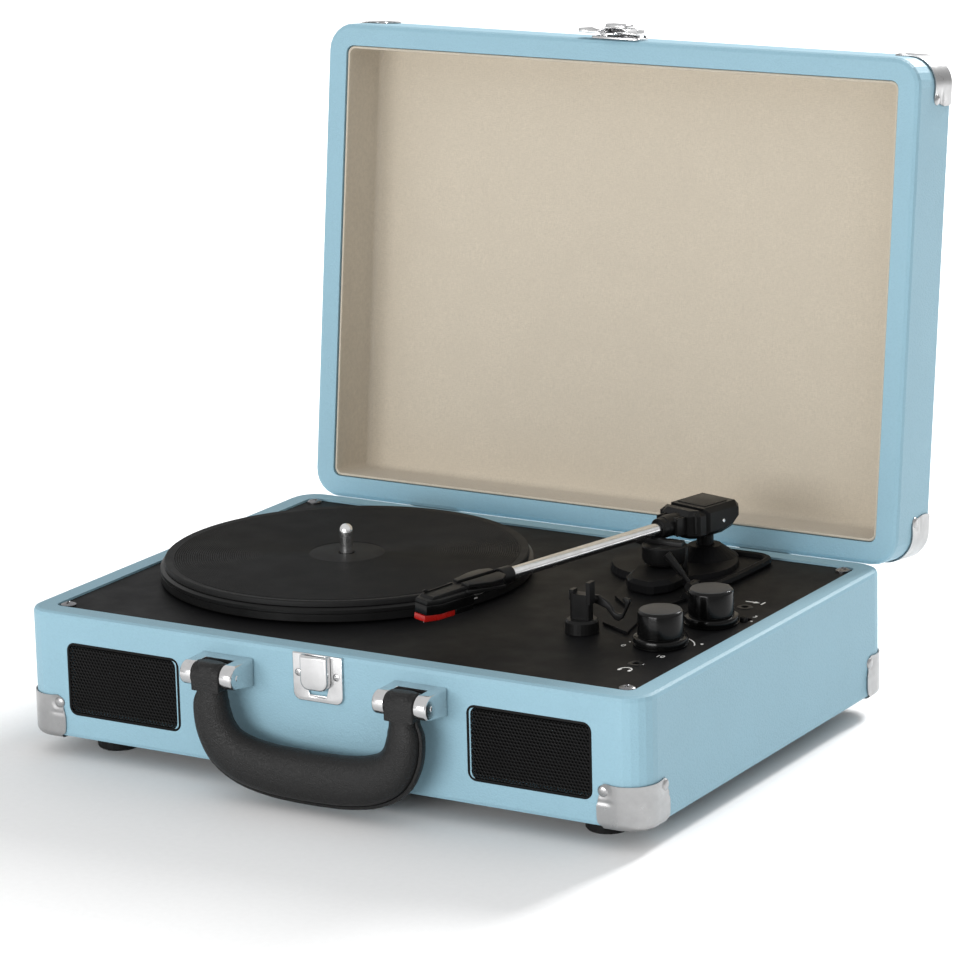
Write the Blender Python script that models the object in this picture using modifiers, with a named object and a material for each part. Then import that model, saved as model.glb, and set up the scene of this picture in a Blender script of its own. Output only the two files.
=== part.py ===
"""Suitcase record player: a blue covered case with two speakers in its front, a belt-driven platter,
a straight tonearm with a cue lift, two knobs, a carrying handle, a hasp, and a hinged lid that stands open.

Metres, +Z up, +X to the right of someone facing the front, +Y to the back. The object stands on z = 0.
Case coordinates, used below under CASE, have z = 0 at the rim of the base and y = 0 at its middle.
"""

import math

import bmesh
import bpy
from mathutils import Vector

MM = 0.001
FIT = 0.3 * MM  # clearance between pieces that touch

# The case
CASE_WIDTH = 352 * MM
CASE_DEPTH = 258.3 * MM
BASE_HEIGHT = 64.2 * MM
WALL = 11.6 * MM
CORNER_RADIUS = 14.5 * MM
INNER_RADIUS = 4 * MM
RIM_ROUND = 2.4 * MM
BOTTOM_THICKNESS = 5 * MM
POST_SIDE = 15 * MM
INNER_WIDTH = CASE_WIDTH - 2 * WALL
INNER_DEPTH = CASE_DEPTH - 2 * WALL
FRONT = -CASE_DEPTH / 2
BACK = CASE_DEPTH / 2
INNER_FRONT = FRONT + WALL
FOOT_X = 141 * MM
FOOT_Y = 100 * MM
FOOT_HEIGHT = 10.5 * MM

# The deck
DECK_TOP = -1 * MM
DECK_THICKNESS = 3 * MM
DECK_BOTTOM = DECK_TOP - DECK_THICKNESS

# The lid, drawn closed and then turned back about its hinge
LID_DEPTH = 39 * MM
LID_PANEL = 4.5 * MM
RIM_GAP = 0.5 * MM
HINGE_Y = 131.7 * MM
HINGE_Z = -5.7 * MM
LID_OPEN = math.radians(96.77)
LINING = 1.2 * MM
HINGE_X = 100 * MM

# Speakers
SPEAKER_X = 116.5 * MM
SPEAKER_Z = -33 * MM
OPENING_WIDTH = 65 * MM
OPENING_HEIGHT = 36 * MM
OPENING_RADIUS = 4 * MM

# Platter and drive
PLATTER_X = -66 * MM
DRIVE_RADIUS = 62 * MM
PULLEY_RADIUS = 5 * MM
PULLEY_DISTANCE = 78 * MM
PULLEY_BEARING = math.radians(135)
PULLEY_X = PLATTER_X + PULLEY_DISTANCE * math.cos(PULLEY_BEARING)
PULLEY_Y = PULLEY_DISTANCE * math.sin(PULLEY_BEARING)
BELT_THICKNESS = 0.8 * MM

# Tonearm: the arm is drawn pointing to -Y, then turned and tilted to where it stands
ARM_X = 89 * MM
ARM_Y = 96.7 * MM
ARM_PIVOT_Z = 24.4 * MM
ARM_TURN = math.radians(-13.8)
ARM_DIP = math.radians(0.3)
TUBE_RADIUS = 3.1 * MM
TUBE_END = 143.5 * MM
LIFT_X = 87 * MM
LIFT_Y = 57 * MM
LEVER_X = 111 * MM
LEVER_Y = 41 * MM
LEVER_Z = 3.6 * MM
REST_X = 94.5 * MM
REST_Y = -40.5 * MM
CLIP_X = REST_X + 4.6 * MM
CLIP_Y = REST_Y + 6.4 * MM
CLIP_Z = 14.6 * MM

# Controls
KNOBS = {"volume": (138.9 * MM, -42.6 * MM), "selector": (143.5 * MM, 0.3 * MM)}
PHONE_JACK = (143.5 * MM, -75.5 * MM)
LINE_JACK = (145.2 * MM, 32.1 * MM)
JACK_RADIUS = 3.2 * MM
SWITCH_SLOT = (156 * MM, 11.8 * MM)

# Handle and latch
HANDLE_Y = -144 * MM
HANDLE_Z = -14 * MM
HANDLE_X = 54.7 * MM
HANDLE_SHIFT = 2.4 * MM
BRACKET_WIDTH = 31 * MM
PIN_RADIUS = 2 * MM
PIN_BORE = 2.3 * MM
HASP_Y = -132.4 * MM
HASP_Z = 11.5 * MM

# The row's frame: the floor is z = 0 and y = 0 is the middle of the box with the lid open
RIM_Z = BASE_HEIGHT + FIT + FOOT_HEIGHT
CAP_STAND = 1.3 * MM
EDGE_LOSS = 0.42 * MM  # what the open lid's rearmost edge loses to its rounding
FRONTMOST = HANDLE_Y - 8.35 * MM
REARMOST = (
    HINGE_Y
    - (FRONT - CAP_STAND - HINGE_Y) * -math.cos(LID_OPEN)
    + (RIM_GAP + LID_DEPTH + CAP_STAND - HINGE_Z) * math.sin(LID_OPEN)
    - EDGE_LOSS
)
SHIFT_Y = -(FRONTMOST + REARMOST) / 2

STYLES = {
    "covering": ((0.38, 0.62, 0.75), 0.55, 0.0),
    "lining": ((0.60, 0.53, 0.43), 0.9, 0.0),
    "black_plastic": ((0.02, 0.02, 0.02), 0.4, 0.0),
    "gloss_black": ((0.012, 0.012, 0.012), 0.2, 0.0),
    "black_rubber": ((0.015, 0.015, 0.015), 0.8, 0.0),
    "chrome": ((0.8, 0.8, 0.8), 0.12, 1.0),
    "steel": ((0.6, 0.6, 0.6), 0.3, 1.0),
    "red_plastic": ((0.55, 0.02, 0.01), 0.35, 0.0),
    "board": ((0.02, 0.12, 0.05), 0.5, 0.0),
    "grip": ((0.02, 0.02, 0.02), 0.6, 0.0),
}

QUARTER = math.pi / 2


# ---------------------------------------------------------------- making and joining shapes


def clear_scene():
    for obj in list(bpy.data.objects):
        bpy.data.objects.remove(obj)


def new_collection(name):
    made = bpy.data.collections.new(name)
    bpy.context.scene.collection.children.link(made)
    return made


def material(name, style):
    color, roughness, metallic = STYLES[style]
    made = bpy.data.materials.new(name)
    made.use_nodes = True
    shader = made.node_tree.nodes["Principled BSDF"]
    shader.inputs["Base Color"].default_value = (*color, 1)
    shader.inputs["Roughness"].default_value = roughness
    shader.inputs["Metallic"].default_value = metallic
    made.diffuse_color = (*color, 1)
    return made


def empty(name, at=(0, 0, 0), turn=(0, 0, 0), parent=None):
    made = bpy.data.objects.new(name, None)
    PARTS.objects.link(made)
    made.parent = parent
    made.location = at
    made.rotation_euler = turn
    return made


def place(name, data, style, parent, at, turn):
    """Puts mesh or curve data in the scene: a part in its style, or a hidden cutter where style is None."""
    made = bpy.data.objects.new(name, data)
    made.parent = parent
    made.location = at
    made.rotation_euler = turn
    if style is None:
        CUTTERS.objects.link(made)
        made.hide_render = True
        made.display_type = "WIRE"
    else:
        PARTS.objects.link(made)
        data.materials.append(material(name + "_look", style))
    return made


def mesh_from(name, bm, sharp=35):
    data = bpy.data.meshes.new(name)
    bm.to_mesh(data)
    bm.free()
    data.shade_smooth()
    data.set_sharp_from_angle(angle=math.radians(sharp))
    return data


def upright(edge):
    return abs(edge.verts[0].co.z - edge.verts[1].co.z) > 1e-7


def block(name, size, at, style=None, parent=None, turn=(0, 0, 0), radius=0, steps=6, edge=0, edge_steps=2):
    """A box; radius rounds its four edges along local Z, and edge rounds those round its two ends."""
    bm = bmesh.new()
    bmesh.ops.create_cube(bm, size=1)
    bmesh.ops.scale(bm, vec=size, verts=bm.verts)
    if radius:
        corners = [e for e in bm.edges if upright(e)]
        bmesh.ops.bevel(bm, geom=corners, offset=radius, segments=steps, profile=0.5, affect="EDGES")
    if edge:
        rims = [e for e in bm.edges if not upright(e)]
        bmesh.ops.bevel(bm, geom=rims, offset=edge, segments=edge_steps, profile=0.5, affect="EDGES")
    return place(name, mesh_from(name, bm), style, parent or CASE, at, turn)


def rod(name, radius, length, at, style=None, parent=None, turn=(0, 0, 0), steps=24, top=None):
    """A cylinder along local Z centred at its place, or a cone where top gives its other radius."""
    bm = bmesh.new()
    bmesh.ops.create_cone(
        bm,
        cap_ends=True,
        segments=steps,
        radius1=radius,
        radius2=radius if top is None else top,
        depth=length,
    )
    return place(name, mesh_from(name, bm), style, parent or CASE, at, turn)


def ball(name, radii, at, style=None, parent=None, steps=16):
    bm = bmesh.new()
    bmesh.ops.create_uvsphere(bm, u_segments=steps, v_segments=steps // 2, radius=1)
    bmesh.ops.scale(bm, vec=radii, verts=bm.verts)
    return place(name, mesh_from(name, bm), style, parent or CASE, at, (0, 0, 0))


def turned(name, profile, at, style=None, parent=None, turn=(0, 0, 0), steps=32, ring=False):
    """A turned solid: profile holds (radius, height) in millimetres, down the outer side from the top."""
    bm = bmesh.new()
    verts = [bm.verts.new((r * MM, 0, z * MM)) for r, z in profile]
    for a, b in zip(verts, verts[1:]):
        bm.edges.new((a, b))
    if ring:
        bm.edges.new((verts[-1], verts[0]))
    made = place(name, mesh_from(name, bm), style, parent or CASE, at, turn)
    screw = made.modifiers.new("Turn", "SCREW")
    screw.steps = steps
    screw.render_steps = steps
    screw.use_smooth_shade = True
    screw.use_merge_vertices = True
    screw.merge_threshold = 0.00001
    return made


def arc(x, y, radius, start, end, count):
    """Points along an arc, in millimetres and degrees."""
    found = []
    for i in range(count + 1):
        angle = math.radians(start + (end - start) * i / count)
        found.append((x + radius * math.cos(angle), y + radius * math.sin(angle)))
    return found


def plate(name, outlines, thickness, at, style=None, parent=None, turn=(0, 0, 0)):
    """A flat piece in local XY: the first outline is its edge and the others are holes, in millimetres."""
    data = bpy.data.curves.new(name, "CURVE")
    data.dimensions = "2D"
    data.fill_mode = "BOTH"
    data.extrude = thickness / 2
    for outline in outlines:
        spline = data.splines.new("POLY")
        spline.points.add(len(outline) - 1)
        for point, (x, y) in zip(spline.points, outline):
            point.co = (x * MM, y * MM, 0, 1)
        spline.use_cyclic_u = True
    return as_mesh(place(name, data, style, parent or CASE, at, turn))


def tube(name, points, radius, style=None, parent=None, resolution=3):
    """A round bar along points given in metres."""
    data = bpy.data.curves.new(name, "CURVE")
    data.dimensions = "3D"
    data.bevel_depth = radius
    data.bevel_resolution = resolution
    data.use_fill_caps = True
    spline = data.splines.new("POLY")
    spline.points.add(len(points) - 1)
    for point, co in zip(spline.points, points):
        point.co = (*co, 1)
    return as_mesh(place(name, data, style, parent or CASE, (0, 0, 0), (0, 0, 0)))


def as_mesh(curve):
    """The curve object as a mesh object with its caps welded."""
    name, data = curve.name, curve.data
    graph = bpy.context.evaluated_depsgraph_get()
    mesh = bpy.data.meshes.new_from_object(curve.evaluated_get(graph))
    bm = bmesh.new()
    bm.from_mesh(mesh)
    bmesh.ops.remove_doubles(bm, verts=bm.verts, dist=0.000005)
    bmesh.ops.recalc_face_normals(bm, faces=bm.faces)
    bm.to_mesh(mesh)
    bm.free()
    mesh.shade_smooth()
    mesh.set_sharp_from_angle(angle=math.radians(35))
    made = bpy.data.objects.new("mesh_of_" + name, mesh)
    for home in curve.users_collection:
        home.objects.link(made)
    made.parent = curve.parent
    made.location = curve.location
    made.rotation_euler = curve.rotation_euler
    made.hide_render = curve.hide_render
    made.display_type = curve.display_type
    bpy.data.objects.remove(curve)
    bpy.data.curves.remove(data)
    made.name = name
    return made


def apply_boolean(target, others, operation):
    for other in others:
        boolean = target.modifiers.new(operation.title(), "BOOLEAN")
        boolean.operation = operation
        boolean.solver = "EXACT"
        boolean.object = other
    return target


def cut(target, *others):
    return apply_boolean(target, others, "DIFFERENCE")


def join(target, *others):
    return apply_boolean(target, others, "UNION")


def keep(target, *others):
    return apply_boolean(target, others, "INTERSECT")


def loft(name, sections, style, parent):
    """A closed solid through rings of points, each ring with the same number of points."""
    bm = bmesh.new()
    rings = [[bm.verts.new(point) for point in ring] for ring in sections]
    count = len(rings[0])
    for low, high in zip(rings, rings[1:]):
        for i in range(count):
            j = (i + 1) % count
            bm.faces.new((low[i], low[j], high[j], high[i]))
    bm.faces.new(list(reversed(rings[0])))
    bm.faces.new(rings[-1])
    bmesh.ops.recalc_face_normals(bm, faces=bm.faces)
    return place(name, mesh_from(name, bm, 60), style, parent, (0, 0, 0), (0, 0, 0))


# ---------------------------------------------------------------- the case


def base_shell():
    shell = block(
        "base_shell",
        (CASE_WIDTH, CASE_DEPTH, BASE_HEIGHT),
        (0, 0, -BASE_HEIGHT / 2),
        "covering",
        radius=CORNER_RADIUS,
        edge=RIM_ROUND,
    )
    inside = block(
        "base_inside",
        (INNER_WIDTH, INNER_DEPTH, BASE_HEIGHT * 2),
        (0, 0, -BASE_HEIGHT / 2),
        radius=INNER_RADIUS,
        steps=3,
    )
    cut(shell, inside)
    post_top = DECK_BOTTOM - FIT
    post_bottom = -BASE_HEIGHT + BOTTOM_THICKNESS + FIT
    for side in (-1, 1):
        for end in (-1, 1):
            x = side * (INNER_WIDTH - POST_SIDE + 2 * MM) / 2
            y = end * (INNER_DEPTH - POST_SIDE + 2 * MM) / 2
            size = (POST_SIDE, POST_SIDE, post_top - post_bottom)
            join(shell, block(f"post_{side}_{end}", size, (x, y, (post_top + post_bottom) / 2)))
        opening = block(
            f"speaker_opening_{side}",
            (OPENING_WIDTH, OPENING_HEIGHT, 4 * WALL),
            (side * SPEAKER_X, FRONT, SPEAKER_Z),
            turn=(QUARTER, 0, 0),
            radius=OPENING_RADIUS,
            steps=4,
        )
        cut(shell, opening)
    cut(shell, block("jack_opening", (46 * MM, 4 * WALL, 16 * MM), (40 * MM, BACK, -42 * MM)))


def bottom_panel():
    size = (INNER_WIDTH - 2 * FIT, INNER_DEPTH - 2 * FIT, BOTTOM_THICKNESS)
    at = (0, 0, -BASE_HEIGHT + BOTTOM_THICKNESS / 2)
    block("bottom_panel", size, at, "black_plastic", radius=INNER_RADIUS, steps=3)


def feet():
    profile = [(0, 0), (10.8, 0), (11.5, -0.8), (10.9, -9.6), (10.1, -10.5), (4, -10.5), (4, -6), (0, -6)]
    for side, side_name in ((-1, "left"), (1, "right")):
        for end, end_name in ((-1, "front"), (1, "rear")):
            at = (side * FOOT_X, end * FOOT_Y, -BASE_HEIGHT - FIT)
            turned(f"foot_{end_name}_{side_name}", profile, at, "black_rubber", steps=20)


def corner_caps(names, height, middle_z, outer_z, parent):
    """Four pressed caps, each a thin skin over one corner of a rounded box and its end face at outer_z."""
    reach = 24 * MM
    tall = 21 * MM
    skin = 1 * MM
    up = 1 if outer_z > middle_z else -1
    for name, (side, end) in names.items():
        grown = 2 * (FIT + skin)
        cap = block(
            name,
            (CASE_WIDTH + grown, CASE_DEPTH + grown, height + grown),
            (0, 0, middle_z),
            "chrome",
            parent,
            radius=CORNER_RADIUS + FIT + skin,
            edge=RIM_ROUND + FIT + skin,
        )
        region = block(
            name + "_region",
            (2 * reach, 2 * reach, 2 * tall),
            (side * (CASE_WIDTH / 2), end * (CASE_DEPTH / 2), outer_z),
            None,
            parent,
        )
        core = block(
            name + "_core",
            (CASE_WIDTH + 2 * FIT, CASE_DEPTH + 2 * FIT, height + 2 * FIT),
            (0, 0, middle_z),
            None,
            parent,
            radius=CORNER_RADIUS + FIT,
            edge=RIM_ROUND + FIT,
        )
        # The end face keeps only a lip, so that the cap is open over the panel inside the walls.
        window = block(
            name + "_window",
            (4 * reach, 4 * reach, 2 * tall),
            (
                side * (CASE_WIDTH / 2 - 2 * reach - 12 * MM),
                end * (CASE_DEPTH / 2 - 2 * reach - 12 * MM),
                outer_z + up * 2 * MM,
            ),
            None,
            parent,
        )
        keep(cap, region)
        cut(cap, core, window)


CORNERS = {
    "front_left": (-1, -1),
    "front_right": (1, -1),
    "rear_left": (-1, 1),
    "rear_right": (1, 1),
}


def base_corners():
    names = {f"base_corner_{where}": signs for where, signs in CORNERS.items()}
    corner_caps(names, BASE_HEIGHT, -BASE_HEIGHT / 2, -BASE_HEIGHT, CASE)


def speakers():
    cone = [(0, 1), (5, 0), (14, 5), (22, 12), (25, 12), (25, 10), (23, 9)]
    magnet = [(15, -6), (16, -6), (16, -16), (0, -16)]
    for side, side_name in ((-1, "left"), (1, "right")):
        block(
            f"speaker_grille_{side_name}",
            (OPENING_WIDTH - 2 * FIT, OPENING_HEIGHT - 2 * FIT, 1.5 * MM),
            (side * SPEAKER_X, FRONT + 2.6 * MM, SPEAKER_Z),
            "black_plastic",
            turn=(QUARTER, 0, 0),
            radius=OPENING_RADIUS - FIT,
            steps=4,
        )
        at = (side * SPEAKER_X, INNER_FRONT + FIT + 12 * MM, SPEAKER_Z)
        turn = (QUARTER, 0, 0)
        turned(f"speaker_driver_{side_name}", cone + magnet, at, "black_plastic", turn=turn, steps=24)


def rear_jack_panel():
    panel = block(
        "rear_jack_panel",
        (54 * MM, 22 * MM, 1.5 * MM),
        (40 * MM, BACK + FIT + 0.75 * MM, -42 * MM),
        "black_plastic",
        turn=(QUARTER, 0, 0),
        radius=2 * MM,
        steps=2,
    )
    for x, radius in ((24, 3.2), (40, 3.6), (52, 3.6)):
        at = (x * MM, BACK, -42 * MM)
        cut(panel, rod(f"jack_{x}", radius * MM, 20 * MM, at, turn=(QUARTER, 0, 0), steps=16))


# ---------------------------------------------------------------- handle and latch


def handle_brackets():
    """Each bracket is a bridge on the wall with two rounded cheeks that hold the handle's pin."""
    sideways = (0, QUARTER, 0)
    profile = [(-126, -7.8)] + arc(-144, -14, 6, 75, 270, 10) + [(-126, -22)]
    for side, side_name in ((-1, "left"), (1, "right")):
        x = HANDLE_SHIFT + side * HANDLE_X
        turn = (QUARTER, 0, QUARTER)
        body = plate(f"handle_bracket_{side_name}", [profile], BRACKET_WIDTH, (x, 0, 0), "chrome", turn=turn)
        bevel = body.modifiers.new("Rounded sides", "BEVEL")
        bevel.width = 3.4 * MM
        bevel.segments = 3
        wall = block(f"bracket_wall_{side_name}", (0.08, 0.04, 0.06), (x, FRONT - FIT + 0.02, HANDLE_Z))
        slot_size = (16.6 * MM, 24 * MM, 40 * MM)
        slot = block(f"bracket_slot_{side_name}", slot_size, (x, HANDLE_Y - 4.2 * MM, HANDLE_Z))
        at = (x, HANDLE_Y, HANDLE_Z)
        bore = rod(f"bracket_bore_{side_name}", PIN_BORE, 26 * MM, at, turn=sideways, steps=16)
        cut(body, wall, slot, bore)
        rod(f"handle_pin_{side_name}", PIN_RADIUS, 25.4 * MM, at, "steel", turn=sideways, steps=16)


def rounded_section(centre, across, through, width, depth, power=2.6, count=14):
    """A ring of points: an ellipse with squared shoulders, width along across and depth along through."""
    ring = []
    for i in range(count):
        angle = 2 * math.pi * i / count
        c, s = math.cos(angle), math.sin(angle)
        a = math.copysign(abs(c) ** (2 / power), c) * width / 2
        b = math.copysign(abs(s) ** (2 / power), s) * depth / 2
        ring.append(centre + across * a + through * b)
    return ring


def handle_grip():
    """The grip hangs from two loops: (x, drop below the pins, width, depth) from one end to the middle."""
    half = [
        (54.7, -6.4, 14.6, 4.8),
        (54.7, -4.8, 15.6, 9.6),
        (54.7, 0, 16, 12.2),
        (54.8, 9, 16.4, 13.8),
        (54.6, 18, 17.6, 14.6),
        (52.2, 27, 19.8, 15.4),
        (46.2, 35.2, 22.5, 16),
        (36, 40.3, 24.6, 16.6),
        (22, 42.9, 26, 17),
        (8, 43.7, 26.8, 17),
    ]
    line = half + [(-x, drop, width, depth) for x, drop, width, depth in reversed(half)]
    spots = [Vector((HANDLE_SHIFT + x * MM, HANDLE_Y, HANDLE_Z - drop * MM)) for x, drop, _, _ in line]
    through = Vector((0, 1, 0))
    rings = []
    for i, (_, _, width, depth) in enumerate(line):
        along = (spots[min(i + 1, len(spots) - 1)] - spots[max(i - 1, 0)]).normalized()
        across = along.cross(through)
        rings.append(rounded_section(spots[i], across, through, width * MM, depth * MM))
    grip = loft("handle_grip", rings, "grip", CASE)
    at = (0, HANDLE_Y, HANDLE_Z)
    cut(grip, rod("handle_bore", PIN_BORE, 150 * MM, at, turn=(0, QUARTER, 0), steps=16))


def latch():
    outline = [(14, -1), (-14, -1)] + arc(-10, -20.6, 4, 180, 270, 4) + arc(10, -20.6, 4, 270, 360, 4)
    window = [(-6.6, -15), (6.6, -15), (4.6, -22), (-4.6, -22)]
    at = (0, FRONT - FIT - 0.6 * MM, 0)
    plate("latch_plate", [outline, window], 1.2 * MM, at, "chrome", turn=(QUARTER, 0, 0))
    cover = [(7.7, -1), (-7.7, -1)] + arc(-3.2, -13.5, 4.5, 180, 270, 4) + arc(3.2, -13.5, 4.5, 270, 360, 4)
    slide = plate("latch_slide", [cover], 3.6 * MM, (0, -132.75 * MM, 0), "chrome", turn=(QUARTER, 0, 0))
    pocket = block("latch_pocket", (11.4 * MM, 3 * MM, 13 * MM), (0, -131.9 * MM, -4.5 * MM))
    cut(slide, pocket)


# ---------------------------------------------------------------- deck, platter and drive


def deck_plate():
    size = (INNER_WIDTH - 2 * FIT, INNER_DEPTH - 2 * FIT, DECK_THICKNESS)
    middle = (DECK_TOP + DECK_BOTTOM) / 2
    deck = block("deck_plate", size, (0, 0, middle), "black_plastic", radius=INNER_RADIUS, steps=3)
    holes = [
        (PLATTER_X, 0, 4.2 * MM),
        (PULLEY_X, PULLEY_Y, 6.5 * MM),
        (ARM_X, ARM_Y, 6 * MM),
        (LIFT_X, LIFT_Y, 4.5 * MM),
    ]
    holes += [(*at, 4 * MM) for at in KNOBS.values()]
    holes += [(*at, JACK_RADIUS) for at in (PHONE_JACK, LINE_JACK)]
    for i, (x, y, radius) in enumerate(holes):
        cut(deck, rod(f"deck_hole_{i}", radius, 20 * MM, (x, y, middle), steps=20))
    cut(deck, block("switch_slot", (4 * MM, 8 * MM, 20 * MM), (*SWITCH_SLOT, middle)))


def spindle():
    tip = [(0, 25), (1.9, 24.6), (3, 23.4), (3.4, 21.6)]
    foot = [(3.4, -4.3), (9, -4.3), (9, -7), (4, -7), (4, -12), (0, -12)]
    turned("spindle", tip + foot, (PLATTER_X, 0, 0), "chrome", steps=20)


def platter_and_mat():
    platter = [
        (3.7, 7.3),
        (94.2, 7.3),
        (95, 6.5),
        (95, 0.2),
        (93.4, 0.2),
        (93.4, 5.7),
        (62, 5.7),
        (62, 0.8),
        (60.4, 0.8),
        (60.4, 5.7),
        (9, 5.7),
        (9, 0.4),
        (3.7, 0.4),
    ]
    turned("platter", platter, (PLATTER_X, 0, 0), "black_plastic", steps=48, ring=True)
    mat = [(4, 10.3), (92, 10.3), (93, 9.3), (93, 7.6), (4, 7.6)]
    turned("slip_mat", mat, (PLATTER_X, 0, 0), "black_rubber", steps=48, ring=True)


def drive():
    at = (PULLEY_X, PULLEY_Y, 0)
    motor = [(0, 4.4), (1.1, 4.4), (1.1, -3.2), (5.5, -3.2), (5.5, -4.9), (16, -4.9), (16, -24), (0, -24)]
    turned("motor", motor, at, "steel", steps=24)
    pulley = [(1.4, 5), (5.6, 5), (5.6, 4.9), (5, 4.8), (5, 1.2), (5.6, 1.1), (5.6, -0.4), (1.4, -0.4)]
    turned("motor_pulley", pulley, at, "black_plastic", steps=20, ring=True)


def belt_outline(spread):
    """The belt's line round the drive ring and the pulley, spread out from both, with the pulley at +X."""
    big = (DRIVE_RADIUS / MM) + spread
    small = (PULLEY_RADIUS / MM) + spread
    lean = math.degrees(math.acos((big - small) / (PULLEY_DISTANCE / MM)))
    round_ring = arc(0, 0, big, lean, 360 - lean, 44)
    round_pulley = arc(PULLEY_DISTANCE / MM, 0, small, -lean, lean, 8)
    return round_ring + round_pulley


def drive_belt():
    gap = FIT / MM
    outlines = [belt_outline(gap + BELT_THICKNESS / MM), belt_outline(gap)]
    at = (PLATTER_X, 0, 3 * MM)
    plate("drive_belt", outlines, 3.2 * MM, at, "black_rubber", turn=(0, 0, PULLEY_BEARING))


# ---------------------------------------------------------------- tonearm


def plinth():
    front = [(97.4, -25.5), (116.8, -35.8), (112.3, -16.6), (107.7, -6.5), (112, 16), (114.4, 30.3)]
    side = [(120.6, 67.9), (121.7, 100)] + arc(111, 104.5, 10.5, 0, 90, 4) + [(76, 115), (68, 104)]
    inner = [(66, 60), (80, 18), (94.8, 4)]
    base = plate("tonearm_plinth", [front + side + inner], 1.3 * MM, (0, 0, -0.05 * MM), "black_plastic")
    ridge_line = [(113.6, 29), (117.4, 50), (119.4, 70), (120, 99)]
    ridge_line += arc(111, 103.5, 9, 0, 90, 5) + [(74, 112.5)]
    ridge = tube("plinth_ridge", [(x * MM, y * MM, 0.9 * MM) for x, y in ridge_line], 2.4 * MM, resolution=2)
    floor = rod("plinth_floor", 33 * MM, 3.6 * MM, (80 * MM, 81 * MM, 1.4 * MM), top=32 * MM, steps=40)
    cone = rod("plinth_cone", 17 * MM, 6.2 * MM, (ARM_X, ARM_Y, 5.9 * MM), top=8.4 * MM, steps=28)
    hexagon = [(83, 27), (97, 23), (104, 33), (104, 50), (96, 60), (80, 60), (74, 48), (77, 35)]
    lift = plate("lift_platform", [hexagon], 8 * MM, (0, 0, 3.6 * MM))
    bevel = lift.modifiers.new("Chamfer", "BEVEL")
    bevel.width = 2.2 * MM
    bevel.segments = 1
    neck = rod("lift_neck", 6.6 * MM, 5 * MM, (LIFT_X, LIFT_Y, 8.4 * MM), top=5.6 * MM)
    lug_at = (LEVER_X - 1 * MM, LEVER_Y + 6 * MM, 2.4 * MM)
    lug = block("lever_lug", (4 * MM, 3 * MM, 5 * MM), lug_at, edge=0.5 * MM)
    join(base, ridge, floor, cone, lift, neck, lug)
    cut(
        base,
        block("under_plinth", (0.2, 0.2, 20 * MM), (0.1, 0.06, DECK_TOP + FIT - 10 * MM)),
        rod("turret_bore", 4.8 * MM, 40 * MM, (ARM_X, ARM_Y, 0), steps=20),
        rod("lift_bore", 3.4 * MM, 40 * MM, (LIFT_X, LIFT_Y, 0), steps=16),
    )


def arm_rest():
    """A post on a round foot: the tube parks between its low left prong and its tall right one."""
    profile = [(0, 6), (7.2, 6), (8.2, 4.8), (8.4, -0.7), (0, -0.7)]
    foot = turned("arm_rest", profile, (REST_X, REST_Y, 0), "black_plastic", steps=28)
    post_at = (REST_X, REST_Y, 11.75 * MM)
    post = block("rest_post", (11 * MM, 5.6 * MM, 13.5 * MM), post_at, radius=1.5 * MM, steps=2)
    left = block("rest_left_prong", (2.2 * MM, 4.5 * MM, 5 * MM), (REST_X - 4.6 * MM, REST_Y, 17.7 * MM))
    right = block("rest_right_prong", (2.2 * MM, 5 * MM, 11 * MM), (REST_X + 4.9 * MM, REST_Y, 19.3 * MM))
    pin_at = (CLIP_X, CLIP_Y - 1.4 * MM, CLIP_Z)
    pin = rod("rest_pin", 1.2 * MM, 8 * MM, pin_at, turn=(QUARTER, 0, 0), steps=12)
    join(foot, post, left, right, pin)


def arm_clip():
    """The hook that holds the parked tube, lying open to the right of the post."""
    centre_x, centre_z = 11.3, -2
    hook = arc(centre_x, centre_z, 7.6, 175, 361, 14) + arc(centre_x, centre_z, 5.3, 361, 175, 12)
    at = (CLIP_X, CLIP_Y, CLIP_Z)
    clip = plate("arm_clip", [hook], 2.2 * MM, at, "black_plastic", turn=(QUARTER, 0, 0))
    boss = rod("clip_boss", 2.6 * MM, 2.2 * MM, at, turn=(QUARTER, 0, 0), steps=16)
    bar = block("clip_bar", (4 * MM, 2.2 * MM, 3 * MM), (CLIP_X + 3.2 * MM, CLIP_Y, CLIP_Z - 0.9 * MM))
    hole = rod("clip_hole", 1.5 * MM, 6 * MM, at, turn=(QUARTER, 0, 0), steps=12)
    join(clip, boss, bar)
    cut(clip, hole)


def arm_turret():
    turret = rod("arm_turret", 4.4 * MM, 26 * MM, (0, 0, 5 * MM), "black_plastic", YAW, steps=20)
    yoke = block("turret_yoke", (8 * MM, 13 * MM, 11.4 * MM), (0, 0, 22.6 * MM), None, YAW)
    join(turret, yoke)


def arm_housing():
    """The block over the pivot, hollow below for the turret's yoke, with the collar that holds the tube."""
    housing = block(
        "arm_housing",
        (27 * MM, 36 * MM, 15 * MM),
        (-0.5 * MM, -4 * MM, -0.15 * MM),
        "black_plastic",
        PITCH,
        radius=4.5 * MM,
        steps=1,
        edge=2.6 * MM,
        edge_steps=1,
    )
    along = (QUARTER, 0, 0)
    hollow = block("housing_hollow", (9.6 * MM, 20 * MM, 20 * MM), (0, 0, -5.1 * MM), None, PITCH)
    collar = rod("housing_collar", 5.6 * MM, 20 * MM, (0, -25.4 * MM, 0), None, PITCH, along, 20, 5.1 * MM)
    shoulder_size = (12.6 * MM, 9 * MM, 9 * MM)
    shoulder = block("housing_shoulder", shoulder_size, (0, -24 * MM, 0), None, PITCH, edge=1.5 * MM)
    bore = rod("housing_bore", TUBE_RADIUS + FIT, 14 * MM, (0, -32 * MM, 0), None, PITCH, along, 16)
    join(housing, collar, shoulder)
    cut(housing, hollow, bore)


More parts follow.
